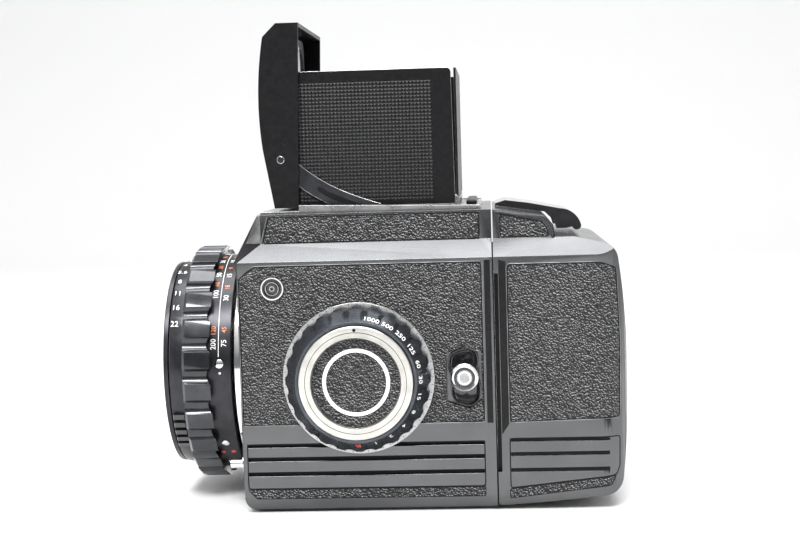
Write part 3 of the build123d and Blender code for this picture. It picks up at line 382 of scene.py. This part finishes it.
LOOK = {
    "casting": ["body_shell", "back_shell", "side_grip_left", "side_grip_right", "back_grip_left",
                "back_grip_right"],
    "leather": ["side_leather_left", "side_leather_right", "upper_leather_left", "upper_leather_right",
                "back_leather_left", "back_leather_right", "back_upper_leather", "dial_cover"],
    "enamel": ["front_panel", "base_plate", "latch_lever", "crank_handle", "pc_socket"],
    "ring_black": ["focus_ring"],
    "stay_black": ["stay_left", "stay_right"],
    "satin_black": ["hood_lid", "hood_panel_left", "hood_panel_right", "hood_panel_rear", "magnifier_frame",
                    "hood_release", "film_insert", "pressure_plate", "iris"],
    "anodised": ["distance_scale", "aperture_ring", "front_rim", "lens_barrel", "winding_knob"],
    "dial_black": ["speed_dial"],
    "chrome": ["strap_stud_left", "strap_stud_right", "release_collar", "release_button",
               "mount_ring"],
    "satin_chrome": ["dial_ring", "crank_arm"],
    "steel": ["tripod_socket", "dial_plate", "mirror_plate", "hood_base"],
    "brass": ["shutter_drum_upper", "shutter_drum_lower"],
    "flock": ["mirror_box", "film_gate"],
    "glass": ["front_element", "rear_element"],
    "clear_glass": ["magnifier_lens"],
    "screen": ["focusing_screen"],
    "mirror": ["mirror_glass"],
    "cloth": ["shutter_curtain"],
    "paper": ["takeup_spool", "supply_spool"],
}


def dress_nodes():
    """Gives every CAD node its material."""
    for look, names in LOOK.items():
        for name in names:
            data = nodes[name].data
            if not data.materials:
                data.materials.append(M[look])
            for index in range(len(data.materials)):
                data.materials[index] = M[look]


# ---- Mesh helpers ----

def piece(name, verts, faces, look, body, smooth=True, sharp=35.0):
    """A new visible piece from plain points and faces, riding on a body."""
    mesh = bpy.data.meshes.new(name)
    mesh.from_pydata([tuple(v) for v in verts], [], faces)
    mesh.validate()
    work = bmesh.new()
    work.from_mesh(mesh)
    bmesh.ops.recalc_face_normals(work, faces=work.faces)
    work.to_mesh(mesh)
    work.free()
    return finish_piece(name, mesh, look, body, smooth, sharp)


def finish_piece(name, mesh, look, body, smooth=True, sharp=35.0):
    """Links a mesh as a visible piece with its material, slot, shading and body."""
    made = bpy.data.objects.new(name, mesh)
    bpy.context.scene.collection.objects.link(made)
    mesh.materials.clear()
    mesh.materials.append(M[look])
    if smooth:
        for poly in mesh.polygons:
            poly.use_smooth = True
        mesh.set_sharp_from_angle(angle=radians(sharp))
    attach(made, body)
    return made


def body_of(name):
    """The body that a CAD node rides on."""
    return nodes[name].parent.name.split(":", 1)[1]


def soften(name, width, edge_look=None):
    """Stands a copy of a CAD node in its place, with its sharp edges rounded.

    edge_look is the material of the rounded edges, a lighter metal that paints a highlight along them.
    """
    work = bmesh.new()
    work.from_mesh(nodes[name].data)
    bmesh.ops.remove_doubles(work, verts=work.verts, dist=1e-6)
    bmesh.ops.dissolve_limit(work, angle_limit=radians(1.0), verts=work.verts, edges=work.edges)
    mesh = bpy.data.meshes.new(name + "_soft")
    work.to_mesh(mesh)
    work.free()
    look = next(key for key, names in LOOK.items() if name in names)
    made = finish_piece(name + "_soft", mesh, look, body_of(name))
    bevel = made.modifiers.new("round", "BEVEL")
    bevel.width = width * MM
    bevel.segments = 3
    bevel.limit_method = "ANGLE"
    bevel.angle_limit = radians(32)
    bevel.harden_normals = True
    bevel.use_clamp_overlap = True
    if edge_look:
        mesh.materials.append(M[edge_look])
        bevel.material = 1
    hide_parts(name)
    return made


def prism(outline, low, high, place):
    """Points and faces of a straight prism. place turns (u, v, w) into a point."""
    count = len(outline)
    verts = [place(u, v, low) for u, v in outline] + [place(u, v, high) for u, v in outline]
    faces = [tuple(range(count)), tuple(range(count, 2 * count))]
    faces += [(i, (i + 1) % count, count + (i + 1) % count, count + i) for i in range(count)]
    return verts, faces


def left_side(u, v, w):
    """Millimetres across, up and out from the middle plane, on the left side."""
    return Vector((u, -w, v)) * MM


def right_side(u, v, w):
    """Millimetres across, up and out from the middle plane, on the right side."""
    return Vector((u, w, v)) * MM


SIDES = (("left", left_side), ("right", right_side))


def ring(profile, center, axis, count=96):
    """Points and faces of a closed section turned about an axis. The section is (along, out)."""
    axis = Vector(axis)
    across = Vector((0, 0, 1))
    third = axis.cross(across)
    verts = []
    for step in range(count):
        angle = 2 * pi * step / count
        out = cos(angle) * across + sin(angle) * third
        verts += [Vector(center) + (axis * along + out * radius) * MM for along, radius in profile]
    size = len(profile)
    faces = []
    for step in range(count):
        here, there = step * size, (step + 1) % count * size
        faces += [(here + i, here + (i + 1) % size, there + (i + 1) % size, there + i) for i in range(size)]
    return verts, faces


def lettering(text, height, depth=0.06):
    """A mesh of plain lettering, centred, lying in X and Y, with its heights in millimetres."""
    curve = bpy.data.curves.new("lettering", "FONT")
    curve.body = text
    curve.size = height / 0.7
    curve.align_x = "CENTER"
    curve.align_y = "CENTER"
    curve.extrude = depth / 2
    curve.resolution_u = 3
    curve.offset = 0.004 * height
    holder = bpy.data.objects.new("lettering", curve)
    bpy.context.scene.collection.objects.link(holder)
    mesh = bpy.data.meshes.new_from_object(holder.evaluated_get(bpy.context.evaluated_depsgraph_get()))
    bpy.data.objects.remove(holder)
    return mesh


def engrave(name, text, height, look, body, place):
    """Lettering laid on a curved surface. place turns flat (x, y, z) millimetres into a point."""
    mesh = lettering(text, height)
    work = bmesh.new()
    work.from_mesh(mesh)
    bmesh.ops.remove_doubles(work, verts=work.verts, dist=1e-4)
    bmesh.ops.subdivide_edges(work, edges=[e for e in work.edges if e.calc_length() > 0.7], cuts=1)
    for vert in work.verts:
        vert.co = place(*vert.co)
    bmesh.ops.recalc_face_normals(work, faces=work.faces)
    work.to_mesh(mesh)
    work.free()
    return finish_piece(name, mesh, look, body, smooth=False)


def on_lens(along, radius, angle, quarter=0):
    """Places flat lettering on a ring about the lens axis, seen from the left side.

    angle is upwards from the -Y direction in degrees. The text's up direction is along the ring
    when quarter is 0, and towards the lens's front when quarter is 1.
    """
    def place(x, y, z):
        if quarter:
            x, y = -y, x
        turn = radians(angle) + y / radius
        out = radius + z
        return Vector((along + x, -out * cos(turn), LENS_Z / MM + out * sin(turn))) * MM
    return place


# ---- The body's trim ----

def wire(name, points, radius, look, body, closed=True):
    """A thin round bead along a line of points, with its radius in millimetres."""
    curve = bpy.data.curves.new(name, "CURVE")
    curve.dimensions = "3D"
    spline = curve.splines.new("POLY")
    spline.points.add(len(points) - 1)
    for spot, point in zip(spline.points, points):
        spot.co = (*point, 1)
    spline.use_cyclic_u = closed
    curve.bevel_depth = radius * MM
    curve.bevel_resolution = 3
    curve.use_fill_caps = True
    holder = bpy.data.objects.new(name, curve)
    bpy.context.scene.collection.objects.link(holder)
    mesh = bpy.data.meshes.new_from_object(holder.evaluated_get(bpy.context.evaluated_depsgraph_get()))
    bpy.data.objects.remove(holder)
    return finish_piece(name, mesh, look, body, sharp=60)


def inset(outline, gap):
    """The outline moved inwards by a gap, both in millimetres. Corners keep their mitres."""
    area = sum(a[0] * b[1] - b[0] * a[1] for a, b in zip(outline, outline[1:] + outline[:1]))
    gap = gap if area > 0 else -gap
    moved = []
    count = len(outline)
    for i in range(count):
        before, here, after = (Vector(outline[(i + k) % count]) for k in (-1, 0, 1))
        first, second = (here - before).normalized(), (after - here).normalized()
        n_first, n_second = Vector((-first.y, first.x)), Vector((-second.y, second.x))
        both = (n_first + n_second).normalized()
        moved.append(tuple(here + both * gap / max(both.dot(n_first), 0.3)))
    return moved


def rounded(outline, radius, steps=4):
    """The outline with each corner cut back and rounded, in millimetres."""
    result = []
    count = len(outline)
    for i in range(count):
        before, here, after = (Vector(outline[(i + k) % count]) for k in (-1, 0, 1))
        to_before, to_after = before - here, after - here
        reach = min(radius, to_before.length / 2, to_after.length / 2)
        start, end = here + to_before.normalized() * reach, here + to_after.normalized() * reach
        for step in range(steps + 1):
            t = step / steps
            result.append(tuple(start * (1 - t) ** 2 + here * 2 * t * (1 - t) + end * t**2))
    return result


BODY_LEATHER = [(-37.7, 27.0), (34.7, 27.0), (34.7, 74.7), (-33.3, 74.7), (-37.7, 71.1)]
BACK_LEATHER = [(42.3, 26.7), (74.8, 27.5), (75.2, 50.0), (74.4, 72.0), (69.9, 73.7), (42.3, 73.7)]
UPPER_LEATHER = [(-30.7, 81.4), (34.3, 81.4), (34.3, 89.2), (-28.8, 89.2)]
BACK_UPPER_LEATHER = [(40.6, 81.5), (55.2, 81.5), (54.4, 84.2), (52.9, 86.0), (40.6, 88.4)]
BACK_GRIP = [(42.0, 6.8), (73.5, 10.1), (74.6, 12.5), (74.8, 21.8), (42.0, 21.8)]
BODY_GRIP = [(-36.8, 7.6), (34.6, 7.6), (34.6, 21.2), (-36.8, 21.2)]
BODY_STRIP = [(-36.6, 7.3), (34.4, 7.3), (34.4, 4.7), (-34.2, 4.7)]
BACK_STRIP = [(42.0, 6.5), (73.2, 9.8), (71.8, 7.2), (42.0, 3.9)]
CORNER_Z = 5.0  # height below which the sides round under into the base
DIAL_SINK = 0.08  # the dial ring stands back so its inked marks end at the CAD's own face
CORNER_X = 68.8  # where the film back's sides start to turn in towards its rear
REAR_R = 9.0  # rounding of the film back's rear corners


def side_skin(place):
    """Places points on a side face, following it where it rounds into the base and the rear."""
    def wrapped(u, v, w):
        drop = max(CORNER_Z - v, 0.0)
        turn = max(u - CORNER_X, 0.0)
        under = CORNER_Z - sqrt(max(CORNER_Z**2 - drop**2, 0.0))
        around = REAR_R - sqrt(max(REAR_R**2 - turn**2, 0.0))
        return place(u, v, w - under - around)
    return wrapped


def dense(outline, gap=0.8):
    """The closed outline with extra points, so none of its edges is longer than the gap."""
    result = []
    for here, after in zip(outline, outline[1:] + outline[:1]):
        a, b = Vector(here), Vector(after)
        count = max(1, int((b - a).length / gap) + 1)
        result += [tuple(a.lerp(b, step / count)) for step in range(count)]
    return result


def band(name, outline, low, high, place, look, body):
    """A thin slab between the lower and the upper side of a four-cornered outline, in columns.

    The outline runs lower front, lower rear, upper rear, upper front, or the other way up.
    """
    bottom_start, bottom_end, top_end, top_start = (Vector(point) for point in outline)
    columns = 40
    verts, faces = [], []
    for step in range(columns + 1):
        share = step / columns
        first, second = bottom_start.lerp(bottom_end, share), top_start.lerp(top_end, share)
        verts += [place(*first, low), place(*first, high), place(*second, high), place(*second, low)]
    for step in range(columns):
        here, there = 4 * step, 4 * (step + 1)
        faces += [(here + i, here + (i + 1) % 4, there + (i + 1) % 4, there + i) for i in range(4)]
    faces += [(0, 1, 2, 3), tuple(4 * columns + i for i in range(4))]
    piece(name, verts, faces, look, body, smooth=False)


def leather_strips():
    """Low strips of leatherette under the ribbed grips, with a dark bead of painted shade round each."""
    for side, place in SIDES:
        skin = side_skin(place)
        for name, outline, body in (("body", BODY_STRIP, "camera_body"), ("back", BACK_STRIP, "back_cover")):
            band(f"{name}_low_strip_{side}", outline, 41.7, 42.06, skin, "leather", body)
            points = [skin(u, v, 41.98) for u, v in dense(rounded(inset(outline, -0.1), 0.5))]
            wire(f"{name}_low_line_{side}", points, 0.16, "shade_line", body)


def leather_beads():
    """A thin bright bead round each leather panel, inside a dark line of painted shade where the panel ends.
    """
    panels = (
        ("body", BODY_LEATHER, SIDE_FACE, "camera_body"),
        ("back", BACK_LEATHER, SIDE_FACE, "back_cover"),
        ("upper", UPPER_LEATHER, UPPER_FACE, "camera_body"),
        ("back_upper", BACK_UPPER_LEATHER, UPPER_FACE, "back_cover"),
        ("grip", BODY_GRIP, SIDE_FACE, "camera_body"),
        ("back_grip", BACK_GRIP, SIDE_FACE, "back_cover"),
    )
    for side, place in SIDES:
        for name, outline, depth, body in panels:
            skin = side_skin(place)
            if name in ("body", "back"):
                outer = [skin(u, v, depth - 0.02) for u, v in dense(rounded(inset(outline, -0.2), 1.2))]
                wire(f"{name}_bead_{side}", outer, 0.1, "worn_metal", body)
            inner = [skin(u, v, depth - 0.08) for u, v in dense(rounded(inset(outline, 0.05), 1.0))]
            wire(f"{name}_line_{side}", inner, 0.2, "shade_line", body)


def grip_grooves():
    """Dark sheets of painted shade on the floors of the grooves between the ribs."""
    body_grooves = [
        [(-36.7, low), (34.5, low), (34.5, high), (-36.7, high)]
        for low, high in ((11.5, 12.6), (16.0, 17.1), (20.2, 21.2))
    ]
    back_grooves = [
        [(42.3, z - 0.5), (71.6, z - 0.5), (71.6, z + 0.5), (42.3, z + 0.5)] for z in (21.3, 17.0, 12.2)
    ]
    for side, place in SIDES:
        for name, grooves, floor, body in (
            ("body", body_grooves, 40.9, "camera_body"), ("back", back_grooves, 41.5, "back_cover"),
        ):
            for index, outline in enumerate(grooves):
                verts, faces = prism(outline, floor - 0.1, floor + 0.12, place)
                piece(f"{name}_groove_{index}_{side}", verts, faces, "shade_line", body, smooth=False)


def stud_seats():
    """A black dish round each strap stud: an upper and a lower hollow that lean opposite ways."""
    upper = [(23.9, 39.5), (23.9, 45.9), (25.2, 47.9), (28.0, 49.0), (31.6, 49.3), (33.4, 47.6), (33.4, 41.0)]
    lower = [(24.4, 41.5), (24.8, 34.0), (26.6, 32.4), (30.4, 31.3), (33.0, 32.6), (34.0, 35.2), (33.7, 42.5)]
    levels = ((1.0, 42.0), (1.0, 42.25), (0.9, 42.25), (0.82, 41.2), (0.55, 40.6), (0.0, 40.45))
    for side, place in SIDES:
        for name, outline in (("upper", upper), ("lower", lower)):
            middle_u = sum(u for u, _ in outline) / len(outline)
            middle_v = sum(v for _, v in outline) / len(outline)
            rings = []
            for share, depth in levels:
                rings.append([
                    place(middle_u + (u - middle_u) * share, middle_v + (v - middle_v) * share, depth)
                    for u, v in outline
                ])
            count = len(outline)
            verts = [p for loop in rings for p in loop]
            faces = []
            for level in range(len(rings) - 1):
                low, high = level * count, (level + 1) * count
                for i in range(count):
                    after = (i + 1) % count
                    faces.append((low + i, low + after, high + after, high + i))
            made = piece(f"stud_seat_{name}_{side}", verts, faces, "enamel", "camera_body", sharp=60)
            smooth = made.modifiers.new("round", "SUBSURF")
            smooth.levels = 2
            smooth.render_levels = 2


def stud_ridges():
    """Turned ridges and a dished face on the head of each strap stud."""
    for side, sign in (("left", -1), ("right", 1)):
        axis = Vector((0, sign, 0))
        rings = (
            ("rim", [(46.9, 3.1), (47.25, 3.2), (47.3, 3.6), (46.9, 4.0)], "chrome"),
            ("ring", [(46.9, 1.5), (47.2, 1.6), (47.2, 2.0), (46.9, 2.2)], "chrome"),
            ("well", [(46.98, 2.2), (47.06, 2.25), (47.06, 3.1), (46.98, 3.12)], "stay_black"),
            ("centre", [(46.98, 0.05), (47.05, 0.06), (47.05, 1.45), (46.98, 1.5)], "steel"),
        )
        for name, profile, look in rings:
            verts, faces = ring(profile, STUD, axis, 48)
            piece(f"stud_{name}_{side}", verts, faces, look, "camera_body")


def dial_marks():
    """Speeds on the dial's slope, the white inlaid ring, edge ticks, fine dark lines of painted shade at the
    ring's steps and the index dot.
    """
    slope = Vector((17.9 - 20.8, 52.0 - 47.2)).normalized()
    normal = Vector((slope.y, -slope.x))
    middle = Vector((18.85, 50.43))

    def on_dial(angle):
        def place(x, y, z):
            turn = radians(angle) + x / middle.x
            spot = middle - slope * y + normal * z
            return DIAL + Vector((spot.x * sin(turn), -spot.y, spot.x * cos(turn))) * MM
        return place

    speeds = ((1000, 15), (500, 30.5), (250, 45), (125, 60), (60, 75), (30, 89), (15, 104), (8, 119),
              (4, 134), (2, 149), (1, 164))
    for speed, angle in speeds:
        engrave(f"speed_{speed}", str(speed), 1.75, "white_ink", "speed_dial", on_dial(angle))
    engrave("speed_bulb", "B", 2.3, "red_ink", "speed_dial", on_dial(180))
    verts, faces = ring([(51.28, 8.85), (51.42, 8.95), (51.42, 9.9), (51.28, 10.0)], DIAL, (0, -1, 0))
    piece("dial_inlay", verts, faces, "white_ink", "camera_body")
    ticks, tick_root, tick_tip, tick_face = 60, 21.75, 22.35, 43.04
    for index in range(ticks):
        turn = 2 * pi * index / ticks
        tip = DIAL + Vector((tick_tip * sin(turn), -tick_face, tick_tip * cos(turn))) * MM
        root = DIAL + Vector((tick_root * sin(turn), -tick_face, tick_root * cos(turn))) * MM
        wire(f"dial_tick_{index}", [root, tip], 0.07, "shade_line", "camera_body", closed=False)
    # Dark rings of painted shade along the two steps of the dial ring.
    for index, radius in enumerate((14.9, 13.25)):
        verts, faces = ring([(53.3, radius - 0.08), (53.46, radius - 0.08), (53.46, radius + 0.08),
                             (53.3, radius + 0.08)], DIAL, (0, -1, 0))
        piece(f"dial_step_{index}", verts, faces, "shade_line", "camera_body")
    dot = [(53.3, 0.0), (53.48, 0.0), (53.48, 0.5), (53.3, 0.5)]
    verts, faces = ring(dot, DIAL + Vector((0, 0, 15.6)) * MM, (0, -1, 0), 20)
    piece("dial_index_dot", verts, faces, "shade_line", "camera_body")


def lens_marks():
    """Aperture and distance figures and coloured marks on the lens."""
    stops = (("22", 27.5), ("16", 37.4), ("11", 47.0), ("8", 56.2), ("5.6", 65.5), ("4", 75.0), ("2.8", 84.5))
    for number, angle in stops:
        engrave("stop_" + number.replace(".", "_"), number, 1.8, "white_ink", "aperture",
                on_lens(-60.2, 33.0, angle))
    feet = (("200", 15.5), ("100", 43.5), ("50", 58.0), ("30", 72.0), ("20", 88.0))
    metres = (("75", 16.0), ("30", 41.0), ("15", 57.0), ("10", 72.0), ("7", 88.0))
    for row, along, figures in (("feet", -47.6, feet), ("metres", -44.3, metres)):
        for number, angle in figures:
            engrave(f"{row}_{number}", number, 1.6, "white_ink", "focus", on_lens(along, scale_r(), angle, 1))
            engrave(f"{row}_{number}_colour", str(int(number) * 3 // 5), 1.4, "orange_ink", "focus",
                    on_lens(along, scale_r(), angle + 7.0, 1))


def scale_r():
    """Outer radius of the distance scale, in millimetres."""
    low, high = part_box("distance_scale")
    return (high.y - low.y) / 2 / MM


def lens_fittings():
    """Chrome index screws, a fine circumferential line and the coloured dots on the scale ring."""
    radius = scale_r()

    def stud(name, along, angle, size, height, look):
        turn = radians(angle)
        out = Vector((0, -cos(turn), sin(turn)))
        base = Vector((along, 0, LENS_Z / MM)) * MM
        across = Vector((1, 0, 0))
        third = out.cross(across)
        profile = [(-0.3, size), (height * 0.6, size), (height, size * 0.7), (height * 1.05, 0.0),
                   (-0.3, 0.0)]
        verts, faces = [], []
        count = 24
        for step in range(count):
            spin = 2 * pi * step / count
            side = cos(spin) * across + sin(spin) * third
            verts += [base + (out * (radius + along_out) + side * r) * MM for along_out, r in profile]
        for step in range(count):
            here, there = step * len(profile), (step + 1) % count * len(profile)
            faces += [(here + i, here + i + 1, there + i + 1, there + i) for i in range(len(profile) - 1)]
        piece(name, verts, faces, look, "focus")

    stud("index_screw_upper", -45.8, 5.5, 1.3, 0.45, "chrome")
    stud("index_dot_upper", -45.7, 0.8, 0.35, 0.1, "white_ink")
    stud("index_screw_lower", -46.2, -40.5, 1.2, 0.45, "chrome")
    stud("red_dot_front", -47.6, -49.0, 0.75, 0.08, "red_ink")
    stud("red_dot_rear", -44.3, -48.5, 0.75, 0.08, "red_ink")
    verts, faces = [], []
    steps, line_start, line_end = 40, 9.0, 95.0
    for step in range(steps + 1):
        turn = radians(line_start + step * (line_end - line_start) / steps)
        for along, lift in ((-46.12, 0.0), (-46.12, 0.05), (-45.94, 0.05), (-45.94, 0.0)):
            out = radius + lift
            verts.append(Vector((along, -out * cos(turn), LENS_Z / MM + out * sin(turn))) * MM)
    for step in range(steps):
        faces += [(4 * step + i, 4 * step + i + 1, 4 * step + i + 5, 4 * step + i + 4) for i in range(3)]
    piece("scale_line", verts, faces, "white_ink", "focus")


def aperture_grip():
    """Five ribs of the tab on the aperture ring."""
    def arc_block(name, low, high, inner, outer, start, end, look):
        verts, faces = [], []
        section = ((low, inner), (low, outer - 0.2), (low + 0.2, outer), (high - 0.2, outer), (high, inner))
        steps = max(2, int((end - start) / 2))
        for step in range(steps + 1):
            turn = radians(start + (end - start) * step / steps)
            for along, out in section:
                verts.append(Vector((along, -out * cos(turn), LENS_Z / MM + out * sin(turn))) * MM)
        for step in range(steps):
            faces += [(5 * step + i, 5 * step + i + 1, 5 * step + i + 6, 5 * step + i + 5) for i in range(4)]
        faces += [tuple(range(5)), tuple(range(5 * steps, 5 * steps + 5))]
        piece(name, verts, faces, look, "aperture", sharp=20)

    for index in range(5):
        start = -22.0 - index * 5.0
        arc_block(f"aperture_rib_{index}", -61.4, -57.7, 32.5, 33.9, start - 2.9, start, "enamel")


def flash_socket():
    """The flash socket: a chrome rim, a black well with a chrome sleeve, and a centre pin."""
    loops = (
        ("rim", "chrome", [(42.3, 3.0), (42.66, 3.05), (42.66, 3.4), (42.3, 3.5)]),
        ("sleeve", "bright_edge", [(42.3, 1.75), (42.7, 1.8), (42.7, 2.05), (42.3, 2.1)]),
        ("pin", "bright_edge", [(42.3, 0.45), (42.75, 0.5), (42.75, 0.85), (42.3, 0.9)]),
    )
    for name, look, profile in loops:
        verts, faces = ring(profile, FLASH_SOCKET, (0, -1, 0), 48)
        piece(f"flash_socket_{name}", verts, faces, look, "camera_body")


def seam_posts():
    """Dark posts down the seam between the body and the film back, and a dark sheet of painted shade in the
    seam's gap.
    """
    for side, place in SIDES:
        strip = [(35.5, 26.6), (37.3, 26.6), (37.3, 75.2), (35.5, 75.2)]
        verts, faces = prism(strip, 41.8, 42.04, place)
        piece(f"seam_post_body_{side}", verts, faces, "satin_black", "camera_body", smooth=False)
        # A dark sheet of painted shade in the gap between the body and the film back.
        gap_shade = [(38.02, 1.5), (38.36, 1.5), (38.36, 75.5), (38.02, 75.5)]
        verts, faces = prism(gap_shade, 36.0, 41.6, place)
        piece(f"seam_seal_{side}", verts, faces, "shade_line", "camera_body", smooth=False)
        strip = [(39.8, 23.0), (41.9, 26.0), (41.9, 74.6), (39.8, 75.2)]
        verts, faces = prism(strip, 41.8, 42.04, place)
        piece(f"seam_post_back_{side}", verts, faces, "satin_black", "back_cover", smooth=False)


def upper_frames():
    """The curved rim over the back's upper leather and the polished post before the front one."""
    rim = [(39.0, 89.2), (46.0, 88.1), (53.2, 86.9), (55.0, 85.2), (56.1, 83.2), (56.4, 81.4)]
    for side, place in SIDES:
        points = [place(u, v, UPPER_FACE) for u, v in rim]
        wire(f"upper_rim_{side}", points, 0.4, "stay_black", "back_cover", closed=False)
        facet = [(-35.9, 81.4, 36.5), (-31.1, 81.4, 37.03), (-29.0, 89.6, 37.03), (-32.3, 89.6, 36.5)]
        verts = [place(u, v, w) for u, v, w in facet] + [place(u, v, w - 0.3) for u, v, w in facet]
        faces = [(0, 1, 2, 3), (4, 5, 6, 7)] + [(i, (i + 1) % 4, (i + 1) % 4 + 4, i + 4) for i in range(4)]
        piece(f"front_post_{side}", verts, faces, "bright_edge", "camera_body", smooth=False)


def stay_slots():
    """A dark sheet of painted shade along each hood stay, where its slot is."""
    upper = [(-14.2, 98.1), (-11.5, 96.4), (-8.6, 95.1), (-5.3, 93.7), (-2.0, 92.4)]
    lower = [(-2.6, 91.6), (-5.9, 92.3), (-9.2, 93.6), (-12.0, 95.0), (-14.6, 96.7)]
    for side, place in SIDES:
        verts, faces = prism(rounded(upper + lower, 0.4), 28.9, 29.34, place)
        piece(f"stay_slot_{side}", verts, faces, "shade_line", f"stay_{side}", smooth=False)


def hood_texture():
    """Rows of small pyramids pressed into the outer face of each side panel, inside a plain border."""
    pitch, height = 1.1, 0.2
    front_border, rear_border, low_border, top_border = 0.6, 6.2, 1.2, 2.6
    for side, place in SIDES:
        low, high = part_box(f"hood_panel_{side}")
        x_low, x_high = low.x / MM + front_border, high.x / MM - rear_border
        z_low, z_high = low.z / MM + low_border, high.z / MM - top_border
        face = max(abs(low.y), abs(high.y)) / MM
        columns, rows = int((x_high - x_low) / pitch), int((z_high - z_low) / pitch)
        verts, faces = [], []
        for row in range(rows + 1):
            for column in range(columns + 1):
                verts.append(place(x_low + column * pitch, z_low + row * pitch, face + 0.01))
        for row in range(rows):
            for column in range(columns):
                first = row * (columns + 1) + column
                tip = len(verts)
                middle_x, middle_z = x_low + (column + 0.5) * pitch, z_low + (row + 0.5) * pitch
                verts.append(place(middle_x, middle_z, face + height))
                loop = (first, first + 1, first + columns + 2, first + columns + 1)
                faces += [(loop[i], loop[(i + 1) % 4], tip) for i in range(4)]
        piece(f"hood_grid_{side}", verts, faces, "satin_black", f"panel_{side}", smooth=False)


def build_pieces():
    """Every visible piece that is added to the CAD nodes or stands for one."""
    for name, width in (
        ("body_shell", 0.45), ("back_shell", 0.45), ("front_panel", 0.35), ("hood_lid", 0.5),
        ("hood_base", 0.2), ("side_grip_left", 0.85), ("side_grip_right", 0.85), ("back_grip_left", 0.4),
        ("back_grip_right", 0.4), ("focus_ring", 0.45), ("speed_dial", 0.22), ("latch_lever", 0.4),
        ("winding_knob", 0.25), ("crank_arm", 0.3), ("hood_release", 0.2), ("dial_plate", 0.2),
        ("mount_ring", 0.2), ("aperture_ring", 0.15),
    ):
        soften(name, width)
    for vertex in soften("dial_ring", 0.15).data.vertices:
        vertex.co.y += DIAL_SINK * MM
    # The stays and the hood panels get a painted highlight on their rounded edges.
    for name, width in (("stay_left", 0.24), ("stay_right", 0.24), ("hood_panel_left", 0.12),
                        ("hood_panel_right", 0.12), ("hood_panel_rear", 0.12)):
        soften(name, width, "bright_edge")
    leather_strips()
    leather_beads()
    grip_grooves()
    flash_socket()
    seam_posts()
    upper_frames()
    stay_slots()
    stud_seats()
    stud_ridges()
    dial_marks()
    lens_marks()
    lens_fittings()
    aperture_grip()
    hood_texture()


make_camera()
make_stage()
make_light()
bpy.context.scene.view_settings.view_transform = "Standard"
dress_nodes()
build_pieces()
